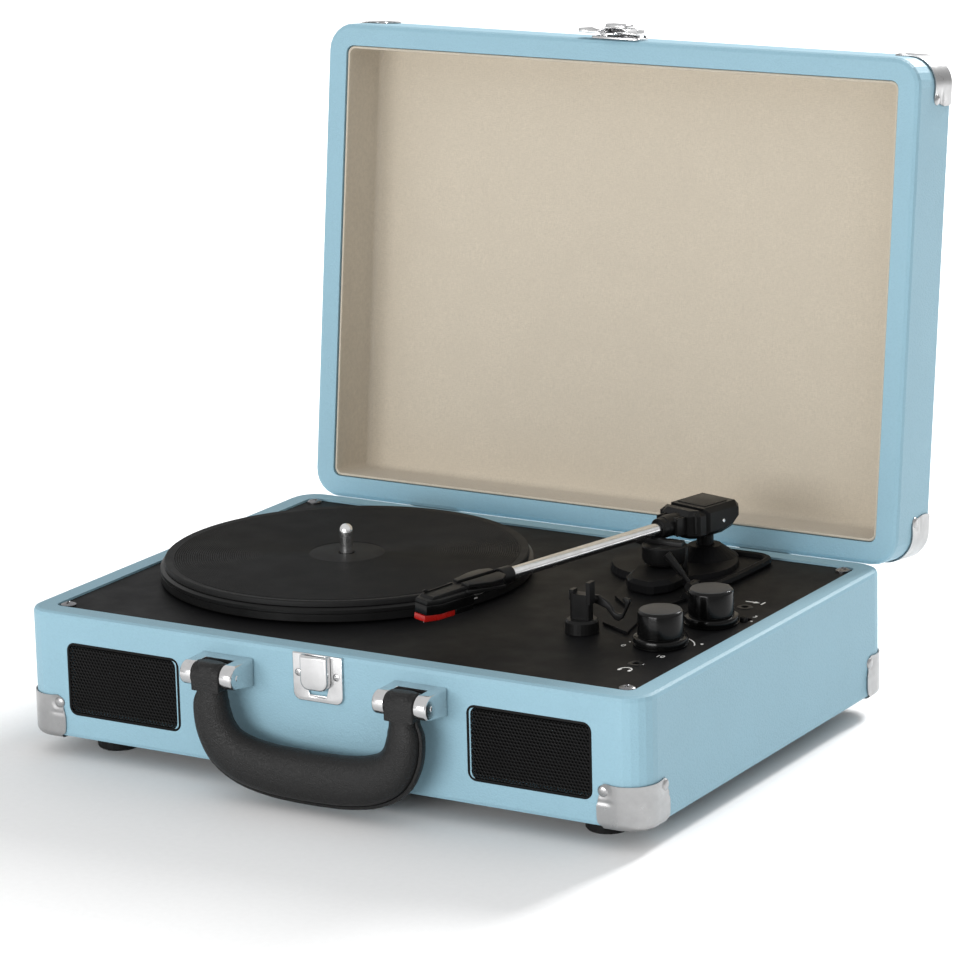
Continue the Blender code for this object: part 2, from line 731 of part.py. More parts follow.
def arm_tube():
    start = 26 * MM
    length = TUBE_END - start
    at = (0, -start - length / 2, 0)
    rod("arm_tube", TUBE_RADIUS, length, at, "chrome", PITCH, (QUARTER, 0, 0), 16)


def headshell():
    along = (QUARTER, 0, 0)
    shell = rod("headshell", 5 * MM, 8 * MM, (0, -145 * MM, 0), "black_plastic", PITCH, along, 20)
    right = [(4.6, -144), (5.4, -166), (7.2, -176), (6.6, -197), (4, -205)]
    body = right + [(-x, y) for x, y in reversed(right)]
    spine = plate("headshell_spine", [body], 3 * MM, (0, 0, 0.4 * MM), None, PITCH)
    join(shell, spine)
    wing_right = [(3, -146.5), (9, -148), (11, -152.5), (10.6, -169), (6, -174), (3, -174)]
    for side in (-1, 1):
        wing = [(side * x, y) for x, y in wing_right]
        lean = (0, side * math.radians(8), 0)
        flap = plate(f"headshell_wing_{side}", [wing], 3.2 * MM, (0, 0, 1.6 * MM), None, PITCH, lean)
        join(shell, flap)
    cut(shell, rod("headshell_bore", TUBE_RADIUS + FIT, 6 * MM, (0, -142.3 * MM, 0), None, PITCH, along, 16))


def cartridge_and_stylus():
    right = [(6.6, -162), (6.6, -197), (3.8, -204.5)]
    body = right + [(-x, y) for x, y in reversed(right)]
    plate("cartridge", [body], 5.9 * MM, (0, 0, -4.35 * MM), "black_plastic", PITCH)
    right = [(5.8, -177), (5.8, -197), (3.4, -204.5)]
    guard = right + [(-x, y) for x, y in reversed(right)]
    plate("stylus", [guard], 3.2 * MM, (0, 0, -9.2 * MM), "red_plastic", PITCH)


def cue_lift():
    profile = [(0, 18.4), (10.8, 18.4), (11.4, 17.8), (11, 14), (7.6, 11.6), (3, 11.2), (3, -8), (0, -8)]
    bar = turned("lift_bar", profile, (LIFT_X, LIFT_Y, 0), "black_plastic", steps=28)
    crescent = arc(0, 0, 41.6, 232, 282, 12) + arc(0, 0, 36.6, 282, 232, 12)
    join(bar, plate("lift_crescent", [crescent], 5 * MM, (ARM_X, ARM_Y, 18.3 * MM)))


def cue_lever():
    base = Vector((LEVER_X, LEVER_Y, LEVER_Z))
    along = Vector((-0.62, -0.15, 0.77)).normalized()
    turn = along.to_track_quat("Z", "Y").to_euler()
    lever = rod("cue_lever", 2.3 * MM, 7 * MM, base, "black_plastic", turn=(QUARTER, 0, 0), steps=16)
    stem = rod("lever_stem", 1.1 * MM, 9 * MM, base + along * 5 * MM, turn=turn, steps=10)
    middle = base + along * 13.6 * MM
    handle = rod("lever_handle", 1.7 * MM, 13 * MM, middle, turn=turn, steps=12, top=2.3 * MM)
    join(lever, stem, handle)


# ---------------------------------------------------------------- controls


def controls():
    board_top = -16.3 * MM
    board_size = (44 * MM, 110 * MM, 1.6 * MM)
    block("circuit_board", board_size, (138 * MM, -20 * MM, board_top - 0.8 * MM), "board")
    knob = [(0, 17.4), (6.5, 17.2), (10, 16.6), (11, 15.5), (11.3, 3.9), (13.2, 3.5), (13.4, 2.8)]
    knob += [(13.4, -0.6), (3.4, -0.6), (3.4, 10.5), (0, 10.5)]
    shaft = [(0, 9.8), (3, 9.8), (3, -5), (3.6, -5), (3.6, -10), (0, -10)]
    for name, (x, y) in KNOBS.items():
        at = (x, y, 0)
        turned(f"{name}_knob", knob, at, "gloss_black", steps=32)
        body_name = "volume_pot" if name == "volume" else "selector_switch"
        body = block(body_name, (16 * MM, 16 * MM, 8 * MM), (x, y, board_top + FIT + 4 * MM), "steel")
        join(body, turned(f"{name}_shaft", shaft, at, steps=16))


# ---------------------------------------------------------------- lid


def lid_shell():
    lid = block(
        "lid_shell",
        (CASE_WIDTH, CASE_DEPTH, LID_DEPTH),
        (0, 0, RIM_GAP + LID_DEPTH / 2),
        "covering",
        LID,
        radius=CORNER_RADIUS,
        edge=RIM_ROUND,
    )
    hollow_depth = LID_DEPTH - LID_PANEL
    cut(
        lid,
        block(
            "lid_inside",
            (INNER_WIDTH, INNER_DEPTH, 2 * hollow_depth),
            (0, 0, RIM_GAP),
            None,
            LID,
            radius=INNER_RADIUS,
            steps=3,
        ),
    )


def lid_lining():
    top = RIM_GAP + LID_DEPTH - LID_PANEL - FIT
    bottom = RIM_GAP + 1 * MM
    width = INNER_WIDTH - 2 * FIT
    depth = INNER_DEPTH - 2 * FIT
    lining = block(
        "lid_lining",
        (width, depth, top - bottom),
        (0, 0, (top + bottom) / 2),
        "lining",
        LID,
        radius=INNER_RADIUS - FIT,
        steps=3,
    )
    size = (width - 2 * LINING, depth - 2 * LINING, 2 * (top - bottom - LINING))
    radius = INNER_RADIUS - FIT - LINING
    cut(lining, block("lining_inside", size, (0, 0, bottom), None, LID, radius=radius, steps=2))


def lid_corners():
    names = {f"lid_corner_{where}": signs for where, signs in CORNERS.items()}
    corner_caps(names, LID_DEPTH, RIM_GAP + LID_DEPTH / 2, RIM_GAP + LID_DEPTH, LID)


def hinges():
    pin_radius = 1 * MM
    knuckle = 2.3 * MM
    leaf = 1 * MM
    leaf_y = BACK + FIT + leaf / 2
    sideways = (0, QUARTER, 0)
    for side, side_name in ((-1, "left"), (1, "right")):
        x = side * HINGE_X
        axis = (x, HINGE_Y, HINGE_Z)
        base_at = (x, leaf_y, HINGE_Z - 11 * MM)
        base = block(f"hinge_base_leaf_{side_name}", (30 * MM, leaf, 22 * MM), base_at, "chrome")
        for end in (-1, 1):
            at = (x + end * 10.2 * MM, HINGE_Y, HINGE_Z)
            join(base, rod(f"knuckle_{side}_{end}", knuckle, 9.6 * MM, at, turn=sideways, steps=16))
        notch = block(f"hinge_notch_{side}", (10.8 * MM, 8 * MM, 6 * MM), axis)
        cut(base, notch)
        join(base, rod(f"hinge_pin_{side}", pin_radius, 29 * MM, axis, turn=sideways, steps=12))
        lid_at = (x, leaf_y, HINGE_Z + 14.5 * MM)
        lid_leaf = block(f"hinge_lid_leaf_{side_name}", (30 * MM, leaf, 23 * MM), lid_at, "chrome", LID)
        narrow_at = (x, leaf_y, HINGE_Z + 5 * MM)
        narrow = block(f"lid_tongue_{side}", (10 * MM, leaf, 10 * MM), narrow_at, None, LID)
        barrel = rod(f"lid_knuckle_{side}", knuckle, 10 * MM, axis, None, LID, sideways, 16)
        bore = rod(f"lid_bore_{side}", pin_radius + FIT, 40 * MM, axis, None, LID, sideways, 12)
        join(lid_leaf, narrow, barrel)
        cut(lid_leaf, bore)


def hasp():
    keeper_at = (0, FRONT - FIT - 0.6 * MM, 7.4 * MM)
    keeper = block("hasp_plate", (28 * MM, 1.2 * MM, 12.4 * MM), keeper_at, "chrome", LID)
    for side in (-1, 1):
        ear_at = (side * 10.6 * MM, -132 * MM, HASP_Z)
        ear = block(f"hasp_ear_{side}", (3.2 * MM, 5 * MM, 4.4 * MM), ear_at, None, LID, edge=0.8 * MM)
        join(keeper, ear)
    axis = (0, HASP_Y, HASP_Z)
    sideways = (0, QUARTER, 0)
    cut(keeper, rod("hasp_bore", 1.5 * MM, 60 * MM, axis, None, LID, sideways, 16))
    flap = block("hasp", (16 * MM, 5 * MM, 12 * MM), (0, -134.9 * MM, 6.9 * MM), "chrome", LID, edge=1 * MM)
    wing = block("hasp_wing", (27 * MM, 1.2 * MM, 6.4 * MM), (0, -133 * MM, 2.8 * MM), None, LID)
    tongue = block("hasp_tongue", (9 * MM, 1 * MM, 10 * MM), (0, -132.4 * MM, -2.6 * MM), None, LID)
    barrel = rod("hasp_barrel", 1.2 * MM, 24 * MM, axis, None, LID, sideways, 12)
    join(flap, wing, tongue, barrel)


# ---------------------------------------------------------------- the whole

clear_scene()
PARTS = new_collection("suitcase_record_player")
CUTTERS = new_collection("cutters")
CASE = empty("case_frame", (0, SHIFT_Y, RIM_Z))
HINGE = empty("lid_hinge", (0, HINGE_Y, HINGE_Z), (-LID_OPEN, 0, 0), CASE)
LID = empty("lid_closed_frame", (0, -HINGE_Y, -HINGE_Z), parent=HINGE)
YAW = empty("arm_yaw", (ARM_X, ARM_Y, 0), (0, 0, ARM_TURN), CASE)
PITCH = empty("arm_pitch", (0, 0, ARM_PIVOT_Z), (ARM_DIP, 0, 0), YAW)

base_shell()
bottom_panel()
feet()
base_corners()
speakers()
rear_jack_panel()
handle_brackets()
handle_grip()
latch()
deck_plate()
spindle()
platter_and_mat()
drive()
drive_belt()
plinth()
arm_rest()
arm_clip()
arm_turret()
arm_housing()
arm_tube()
headshell()
cartridge_and_stylus()
cue_lift()
cue_lever()
controls()
lid_shell()
lid_lining()
lid_corners()
hinges()
hasp()
bpy.context.view_layer.update()
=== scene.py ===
"""Suitcase record player: finishes, fine pieces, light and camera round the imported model."""

import math

import bmesh
import bpy
from mathutils import Matrix, Vector
from mathutils.geometry import tessellate_polygon


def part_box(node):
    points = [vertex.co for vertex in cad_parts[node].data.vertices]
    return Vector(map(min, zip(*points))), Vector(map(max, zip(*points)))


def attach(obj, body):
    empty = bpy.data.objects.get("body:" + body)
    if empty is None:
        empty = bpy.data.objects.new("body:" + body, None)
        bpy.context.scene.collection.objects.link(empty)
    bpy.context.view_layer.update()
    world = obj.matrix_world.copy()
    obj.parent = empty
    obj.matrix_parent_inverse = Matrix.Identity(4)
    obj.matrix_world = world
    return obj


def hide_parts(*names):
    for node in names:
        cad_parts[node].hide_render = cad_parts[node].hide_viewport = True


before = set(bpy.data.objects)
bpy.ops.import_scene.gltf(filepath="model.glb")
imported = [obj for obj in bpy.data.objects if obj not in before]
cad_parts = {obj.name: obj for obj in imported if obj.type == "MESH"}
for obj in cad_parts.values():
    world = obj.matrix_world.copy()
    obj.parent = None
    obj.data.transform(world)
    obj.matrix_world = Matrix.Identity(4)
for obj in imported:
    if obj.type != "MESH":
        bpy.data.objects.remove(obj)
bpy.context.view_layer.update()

MM = 0.001

# ---------------------------------------------------------------- the case's frame

SHELL_LOW, SHELL_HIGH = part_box("base_shell")
RIM_Z = SHELL_HIGH.z
CASE_Y = (SHELL_LOW.y + SHELL_HIGH.y) / 2
CASE_WIDTH = 352.0
CASE_DEPTH = 258.3
BASE_HEIGHT = 64.2
CORNER_RADIUS = 14.5
FRONT = -CASE_DEPTH / 2
LID_OPEN = math.radians(96.77)
LID_TOP = 39.5
HINGE = Vector((0, 131.7, -5.7))
ARM_PIVOT = Vector((89, 96.7, 24.4))
ARM_TURN = math.radians(-13.8)
ARM_DIP = math.radians(0.3)

CASE = Matrix.Translation((0, CASE_Y, RIM_Z)) @ Matrix.Scale(MM, 4)
LID = CASE @ Matrix.Translation(HINGE) @ Matrix.Rotation(-LID_OPEN, 4, "X") @ Matrix.Translation(-HINGE)
ARM = CASE @ Matrix.Translation(ARM_PIVOT) @ Matrix.Rotation(ARM_TURN, 4, "Z")
ARM = ARM @ Matrix.Rotation(ARM_DIP, 4, "X")


# ---------------------------------------------------------------- materials


def add(tree, kind, inputs=None, out=0, **props):
    """Add a shader node, set its properties and inputs, and give back one of its output sockets."""
    node = tree.nodes.new("ShaderNode" + kind)
    for key, value in props.items():
        setattr(node, key, value)
    for key, value in (inputs or {}).items():
        if isinstance(value, bpy.types.NodeSocket):
            tree.links.new(value, node.inputs[key])
        else:
            node.inputs[key].default_value = value
    return node.outputs[out]


def place_of(tree, stretch=(1, 1, 1)):
    """The surface's own coordinates, stretched along its axes."""
    coordinates = add(tree, "TexCoord", out="Object")
    return add(tree, "Mapping", {"Vector": coordinates, "Scale": stretch})


def noise(tree, where, scale, detail=3.0, roughness=0.5):
    """Cloudy values from 0 to 1, at a number of features to the metre."""
    values = {"Vector": where, "Scale": scale, "Detail": detail, "Roughness": roughness}
    return add(tree, "TexNoise", values, out="Fac")


def ranged(tree, value, low, high, start=0.3, end=0.7):
    """A value between start and end, spread over low to high."""
    values = {"Value": value, "From Min": start, "From Max": end, "To Min": low, "To Max": high}
    return add(tree, "MapRange", values)


def mixed(tree, factor, first, second, blend="MIX"):
    """Two colours blended by a factor."""
    node = tree.nodes.new("ShaderNodeMix")
    node.data_type = "RGBA"
    node.blend_type = blend
    for socket, value in ((node.inputs[0], factor), (node.inputs[6], first), (node.inputs[7], second)):
        if isinstance(value, bpy.types.NodeSocket):
            tree.links.new(value, socket)
        else:
            socket.default_value = value
    return node.outputs[2]


def maths(tree, operation, first, second):
    """The result of one sum on two values."""
    return add(tree, "Math", {0: first, 1: second}, operation=operation)


def linear(red, green, blue):
    """A colour given as 0-255 screen values, as the shader's linear numbers."""
    values = []
    for part in (red, green, blue):
        part = part / 255
        values.append(part / 12.92 if part <= 0.04045 else ((part + 0.055) / 1.055) ** 2.4)
    return (*values, 1.0)


def shade(colour, factor):
    """A colour made lighter or darker."""
    return (*(part * factor for part in colour[:3]), 1.0)


def new_material(name):
    """A material with its tree and its principled shader."""
    made = bpy.data.materials.new(name)
    made.use_nodes = True
    return made, made.node_tree, made.node_tree.nodes["Principled BSDF"]


def finish_with(tree, shader, colour, roughness, height, depth, strength=1.0):
    """Link a colour, a roughness and a bump height, whose full depth is given in mm, to the shader."""
    bump = {"Height": height, "Distance": depth * MM, "Strength": strength}
    tree.links.new(colour, shader.inputs["Base Color"])
    tree.links.new(roughness, shader.inputs["Roughness"])
    tree.links.new(add(tree, "Bump", bump), shader.inputs["Normal"])


# How far the pebbles' outlines wander, in metres
CELL_WARP = 0.0012


def leatherette(name, colour, cell, rough, depth, groove_shade, specular=0.35):
    """Pressed leathercloth: pebbles of the given size in mm, fine pores and slow, shallow unevenness, with
    painted shade that darkens the grooves between the pebbles.
    """
    made, tree, shader = new_material(name)
    where = place_of(tree)
    slow = noise(tree, where, 28, 2)
    pores = noise(tree, where, 3200 / cell, 2)
    wander = add(tree, "TexNoise", {"Vector": where, "Scale": 500.0}, out="Color")
    warped = mixed(tree, CELL_WARP, where, wander, "ADD")
    pebbles = {"Vector": warped, "Scale": 1000 / cell, "Smoothness": 0.35}
    cells = add(tree, "TexVoronoi", pebbles, feature="SMOOTH_F1")
    grooves = ranged(tree, cells, 1, 0, 0.15, 0.75)
    height = maths(tree, "ADD", grooves, maths(tree, "MULTIPLY", pores, 0.35))
    # Painted shade: the grooves between the pebbles are coloured darker, as if shade fell in them
    tint = mixed(tree, ranged(tree, grooves, groove_shade, 0, 0, 0.5), colour, shade(colour, 0.8))
    tint = mixed(tree, ranged(tree, slow, 0, 0.35), tint, shade(colour, 1.08))
    finish_with(tree, shader, tint, ranged(tree, pores, rough - 0.06, rough + 0.08), height, depth)
    shader.inputs["Specular IOR Level"].default_value = specular
    return made


def cloth(name, colour):
    """Short felted lining: crossed fine fibres, a faint mottle and flecks."""
    made, tree, shader = new_material(name)
    where = place_of(tree)
    weft = noise(tree, place_of(tree, (0.35, 2.4, 2.4)), 1400, 2)
    warp = noise(tree, place_of(tree, (2.4, 0.35, 0.35)), 1400, 2)
    fibres = maths(tree, "MULTIPLY", maths(tree, "ADD", weft, warp), 0.5)
    mottle = noise(tree, where, 45, 3, 0.6)
    tint = mixed(tree, ranged(tree, fibres, 0, 1, 0.35, 0.65), shade(colour, 0.86), shade(colour, 1.06))
    tint = mixed(tree, ranged(tree, mottle, 0, 0.4), tint, shade(colour, 0.9))
    finish_with(tree, shader, tint, ranged(tree, fibres, 0.82, 0.95), fibres, 0.25)
    shader.inputs["Sheen Weight"].default_value = 0.25
    shader.inputs["Sheen Roughness"].default_value = 0.6
    shader.inputs["Specular IOR Level"].default_value = 0.2
    return made


def plastic(name, colour, rough, grain=2600.0, depth=0.03, specular=0.5, coat=0.0):
    """Moulded plastic: a fine texture, slow changes of gloss and a few faint scuffs."""
    made, tree, shader = new_material(name)
    where = place_of(tree)
    fine = noise(tree, where, grain, 2)
    cloud = noise(tree, where, 60, 3)
    scuffs = noise(tree, place_of(tree, (1, 7, 3)), 420, 4, 0.7)
    tint = mixed(tree, ranged(tree, cloud, 0, 1), shade(colour, 0.88), shade(colour, 1.12))
    tint = mixed(tree, ranged(tree, scuffs, 0, 0.3, 0.58, 0.75), tint, shade(colour, 1.7))
    gloss = ranged(tree, cloud, rough - 0.05, rough + 0.05)
    gloss = maths(tree, "ADD", gloss, ranged(tree, scuffs, 0, 0.08, 0.5, 0.8))
    finish_with(tree, shader, tint, gloss, fine, depth)
    shader.inputs["Specular IOR Level"].default_value = specular
    shader.inputs["Coat Weight"].default_value = coat
    shader.inputs["Coat Roughness"].default_value = 0.08
    return made


def metal(name, colour, rough, brush=(1, 1, 1), depth=0.02, waves=0.0):
    """Plated or bare metal: fine brushing, smudges that dull it, and slow waves from pressing."""
    made, tree, shader = new_material(name)
    where = place_of(tree)
    lines = noise(tree, place_of(tree, brush), 1800, 3)
    smudge = noise(tree, where, 130, 4, 0.6)
    slow = noise(tree, where, 75, 1)
    tint = mixed(tree, ranged(tree, smudge, 0, 1), colour, shade(colour, 0.86))
    gloss = maths(tree, "ADD", ranged(tree, smudge, rough, rough + 0.12), ranged(tree, lines, 0, 0.05))
    height = maths(tree, "ADD", maths(tree, "MULTIPLY", lines, 0.1), maths(tree, "MULTIPLY", slow, waves))
    finish_with(tree, shader, tint, gloss, height, depth)
    shader.inputs["Metallic"].default_value = 1.0
    return made


# The number after each leathercloth's bump depth is its share of painted shade in the grooves
BLUE = leatherette("blue_leatherette", linear(136, 172, 187), 0.95, 0.5, 0.07, 0.2)
GRIP = leatherette("black_leatherette", linear(20, 20, 20), 0.7, 0.42, 0.16, 0.3, 0.3)
LINING = cloth("beige_lining", linear(196, 186, 169))
DECK = plastic("satin_black_deck", linear(17, 17, 18), 0.5, 3200.0, 0.02, 0.08)
BLACK = plastic("black_plastic", linear(17, 17, 17), 0.36, 2400.0, 0.02, 0.2)
GLOSS = plastic("gloss_black", linear(9, 9, 9), 0.2, 1800.0, 0.008, 0.16, 0.1)
# Painted sheen: the knob tops' satin roughness is their real finish, but their grey colour stands for the
# light they catch from above
SATIN_TOP_PAINTED_SHEEN = plastic("satin_knob_top_painted_sheen", linear(62, 62, 62), 0.42, 1800.0, 0.008, 0.25)
RUBBER = plastic("black_rubber", linear(20, 20, 20), 0.6, 2000.0, 0.05, 0.2)
MESH = plastic("painted_mesh", linear(8, 8, 8), 0.45, 2400.0, 0.02, 0.12)
CONE = plastic("paper_cone", linear(20, 20, 20), 0.8, 900.0, 0.1, 0.2)
RED = plastic("red_plastic", linear(150, 20, 14), 0.25, 1500.0, 0.01, 0.4, 0.2)
BOARD = plastic("green_board", linear(28, 92, 58), 0.45, 900.0, 0.05)
WHITE = plastic("white_print", linear(225, 225, 222), 0.5)
CHROME = metal("chrome", (0.72, 0.72, 0.725, 1), 0.1, depth=0.05, waves=0.5)
NICKEL = metal("pressed_nickel", (0.42, 0.42, 0.422, 1), 0.24, depth=0.14, waves=0.7)
STEEL = metal("steel", (0.62, 0.61, 0.6, 1), 0.26, (1, 1, 5))
TUBE = metal("polished_tube", (0.86, 0.86, 0.86, 1), 0.12, depth=0.004)
DARK_METAL = metal("black_nickel", (0.26, 0.26, 0.27, 1), 0.2)

FINISH_OF = {
    BLUE: ["base_shell", "lid_shell"],
    GRIP: ["handle_grip"],
    LINING: ["lid_lining"],
    DECK: ["deck_plate", "tonearm_plinth"],
    RUBBER: [
        "slip_mat", "drive_belt", "foot_front_left", "foot_front_right", "foot_rear_left", "foot_rear_right",
    ],
    MESH: ["speaker_grille_left", "speaker_grille_right"],
    CONE: ["speaker_driver_left", "speaker_driver_right"],
    GLOSS: ["volume_knob", "selector_knob"],
    RED: ["stylus"],
    BOARD: ["circuit_board"],
    TUBE: ["arm_tube", "spindle"],
    STEEL: ["motor", "volume_pot", "selector_switch", "handle_pin_left", "handle_pin_right"],
}
# Any other node is chrome where its name has one of these words, and black plastic where it has none
CHROME_WORDS = ("corner", "bracket", "latch", "hasp", "hinge")


def finish_nodes():
    """Give every CAD node that stays its detailed finish."""
    chosen = {node: made for made, nodes in FINISH_OF.items() for node in nodes}
    for name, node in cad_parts.items():
        made = chosen.get(name, CHROME if any(word in name for word in CHROME_WORDS) else BLACK)
        node.data.materials.clear()
        node.data.materials.append(made)


finish_nodes()

# ---------------------------------------------------------------- drawing pieces, in millimetres


def piece(name, bm, finish, body, frame_of=CASE, sharp=32, stands_for=()):
    """Turn a mesh drawn in millimetres into a finished piece that rides on a body."""
    bmesh.ops.recalc_face_normals(bm, faces=bm.faces)
    mesh = bpy.data.meshes.new(name)
    bm.to_mesh(mesh)
    bm.free()
    mesh.transform(frame_of)
    mesh.materials.append(finish)
    mesh.shade_smooth()
    mesh.set_sharp_from_angle(angle=math.radians(sharp))
    made = bpy.data.objects.new(name, mesh)
    bpy.context.scene.collection.objects.link(made)
    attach(made, body)
    if stands_for:
        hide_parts(*stands_for)


def bridge(bm, first, second, closed=True):
    """Join two rows of points with quads, or with triangles where a row is a single point."""
    count = max(len(first), len(second))
    for i in range(count if closed else count - 1):
        j = (i + 1) % count
        corners = [first[i % len(first)], first[j % len(first)]]
        corners += [second[j % len(second)], second[i % len(second)]]
        corners = list(dict.fromkeys(corners))
        if len(corners) > 2:
            bm.faces.new(corners)


def lathe(bm, profile, at=(0, 0, 0), turn=None, steps=32, ring=False):
    """Turn a (radius, height) profile about an upright axis, which a matrix may turn.

    A ring's profile is a closed loop."""
    spin = Matrix.Translation(at) @ (turn or Matrix.Identity(4))
    rows = []
    for radius, height in profile:
        spots = [(0, 0, height)]
        if radius > 0:
            angles = [2 * math.pi * i / steps for i in range(steps)]
            spots = [(radius * math.cos(angle), radius * math.sin(angle), height) for angle in angles]
        rows.append([bm.verts.new(spin @ Vector(spot)) for spot in spots])
    for first, second in zip(rows, rows[1:]):
        bridge(bm, first, second)
    if ring:
        bridge(bm, rows[-1], rows[0])


def arc(x, y, radius, start, end, count):
    """Points along an arc, with its ends in degrees."""
    angles = [math.radians(start + (end - start) * i / count) for i in range(count + 1)]
    return [(x + radius * math.cos(angle), y + radius * math.sin(angle)) for angle in angles]


def rounded(width, height, radius, steps=5, x=0, y=0):
    """A rectangle with rounded corners, drawn counter-clockwise."""
    spots = []
    for quarter, (side, end) in enumerate(((1, 1), (-1, 1), (-1, -1), (1, -1))):
        middle = (x + side * (width / 2 - radius), y + end * (height / 2 - radius))
        spots += arc(*middle, radius, 90 * quarter, 90 * quarter + 90, steps)
    return spots


def ordered(outline):
    """The outline drawn counter-clockwise."""
    area = sum(x1 * y2 - x2 * y1 for (x1, y1), (x2, y2) in zip(outline, outline[1:] + outline[:1]))
    return outline if area > 0 else outline[::-1]


def inset(outline, distance):
    """The outline moved inwards, or outwards where it is a hole, which is drawn clockwise."""
    moved = []
    for before, here, after in zip(outline[-1:] + outline[:-1], outline, outline[1:] + outline[:1]):
        first = (Vector(here) - Vector(before)).normalized()
        second = (Vector(after) - Vector(here)).normalized()
        inward = Vector((-first.y - second.y, first.x + second.x))
        moved.append(Vector(here) + inward * (2 * distance / inward.length_squared))
    return moved


def plate(bm, outlines, low, high, rims=(0.3, 0.3), turn=None, steps=3):
    """A flat solid with rounded rims: the first outline is its edge, and the others are holes."""
    spin = turn or Matrix.Identity(4)
    levels = []
    for level, inwards, rim in ((low, 1, rims[0]), (high, -1, rims[1])):
        count = steps if rim else 0
        quarter = [math.pi / 2 * i / count if count else 0 for i in range(count + 1)]
        side = [(rim * (1 - math.sin(a)), level + inwards * rim * (1 - math.cos(a))) for a in quarter]
        levels += side if inwards > 0 else side[::-1]
    ends = ([], [])
    for outline in outlines:
        rows = []
        for shrink, level in levels:
            spots = inset(outline, shrink) if shrink else outline
            rows.append([bm.verts.new(spin @ Vector((spot[0], spot[1], level))) for spot in spots])
        for first, second in zip(rows, rows[1:]):
            bridge(bm, first, second)
        ends[0].append(rows[0])
        ends[1].append(rows[-1])
    flat = [[Vector((*spot, 0)) for spot in inset(outline, rims[1])] for outline in outlines]
    for end in ends:
        verts = [vert for row in end for vert in row]
        for corners in tessellate_polygon(flat):
            bm.faces.new([verts[corner] for corner in corners])


def brick(bm, size, at, rim=0.3, radius=0.6, turn=None):
    """A block with rounded corners and rims."""
    spin = Matrix.Translation(at) @ (turn or Matrix.Identity(4))
    plate(bm, [rounded(size[0], size[1], radius, 3)], -size[2] / 2, size[2] / 2, (rim, rim), spin, 2)


def pipe(bm, spots, sizes, steps=12):
    """A round bar through a line of points, with closed ends."""
    spots = [Vector(spot) for spot in spots]
    side = (spots[1] - spots[0]).orthogonal().normalized()
    rows = []
    for i, spot in enumerate(spots):
        along = (spots[min(i + 1, len(spots) - 1)] - spots[max(i - 1, 0)]).normalized()
        side = (side - along * side.dot(along)).normalized()
        other = along.cross(side)
        radius = sizes[i] if isinstance(sizes, (list, tuple)) else sizes
        angles = [2 * math.pi * k / steps for k in range(steps)]
        circle = [spot + (side * math.cos(angle) + other * math.sin(angle)) * radius for angle in angles]
        rows.append([bm.verts.new(point) for point in circle])
    for first, second in zip(rows, rows[1:]):
        bridge(bm, first, second)
    bm.faces.new(rows[0][::-1])
    bm.faces.new(rows[-1])


def facing(x, y, z):
    """The matrix that turns the upright axis to a direction."""
    return Vector((x, y, z)).to_track_quat("Z", "Y").to_matrix().to_4x4()


# The planes that plates are drawn in. FRONTAL takes an outline's (x, y) as (x, z), with levels that grow to
# the front. SIDEWAYS takes it as (y, z), with levels that grow to the right.
FRONTAL = Matrix(((1, 0, 0, 0), (0, 0, -1, 0), (0, 1, 0, 0), (0, 0, 0, 1)))
SIDEWAYS = Matrix(((0, 0, 1, 0), (1, 0, 0, 0), (0, 1, 0, 0), (0, 0, 0, 1)))


# A screw head in shares of its radius and height
SCREW_RINGS = (0.0, 0.08, 0.14, 0.22, 0.34, 0.46, 0.57, 0.62, 0.76, 0.9, 0.98, 1.0)
SCREW_STEPS = 48
SCREW_TURN = 0.4
NEXT_TURN = 0.7
SLOT_HALF_WIDTH = 0.14
SLOT_REACH = 0.58
SLOT_DEPTH = 0.6
HEAD_FALL = 0.7
HEAD_CURVE = 2.6
HEAD_SKIRT = 0.8


def cross_screw(bm, at, direction, radius, height, spin=SCREW_TURN):
    """A domed screw head with a cross recess sunk in it."""
    axis = Matrix.Translation(at) @ facing(*direction) @ Matrix.Rotation(spin, 4, "Z")
    rows = []
    for share in SCREW_RINGS:
        row = []
        for i in range(SCREW_STEPS if share else 1):
            angle = 2 * math.pi * i / SCREW_STEPS
            x = share * math.cos(angle)
            y = share * math.sin(angle)
            sunk = min(abs(x), abs(y)) < SLOT_HALF_WIDTH and max(abs(x), abs(y)) < SLOT_REACH
            level = height * (1 - HEAD_FALL * share ** HEAD_CURVE - (SLOT_DEPTH if sunk else 0))
            row.append(bm.verts.new(axis @ Vector((x * radius, y * radius, level))))
        rows.append(row)
    skirt = axis.to_3x3() @ Vector((0, 0, height * HEAD_SKIRT))
    rows.append([bm.verts.new(vert.co - skirt) for vert in rows[-1]])
    for first, second in zip(rows, rows[1:]):
        bridge(bm, first, second)
    bm.faces.new(rows[-1])


def screws(name, spots, direction, radius, height, finish, body, frame_of=CASE):
    """One piece with a screw at every spot, each turned differently."""
    bm = bmesh.new()
    for i, spot in enumerate(spots):
        cross_screw(bm, spot, direction, radius, height, SCREW_TURN + NEXT_TURN * i)
    piece(name, bm, finish, body, frame_of)


def curve_value(values, t):
    """A value of the smooth curve through four numbers, t of the way from the second to the third."""
    a, b, c, d = values
    slope = (c - a) * t
    bend = (2 * a - 5 * b + 4 * c - d) * t ** 2
    return 0.5 * (2 * b + slope + bend + (3 * b - a - 3 * c + d) * t ** 3)


def smoothed(points, count):
    """Rows of numbers spread along a smooth curve through the given rows."""
    made = []
    for i in range(count):
        where = i / (count - 1) * (len(points) - 1)
        k = min(int(where), len(points) - 2)
        t = where - k
        rows = [points[max(k - 1, 0)], points[k], points[k + 1], points[min(k + 2, len(points) - 1)]]
        made.append([curve_value(values, t) for values in zip(*rows)])
    return made


# ---------------------------------------------------------------- corner caps

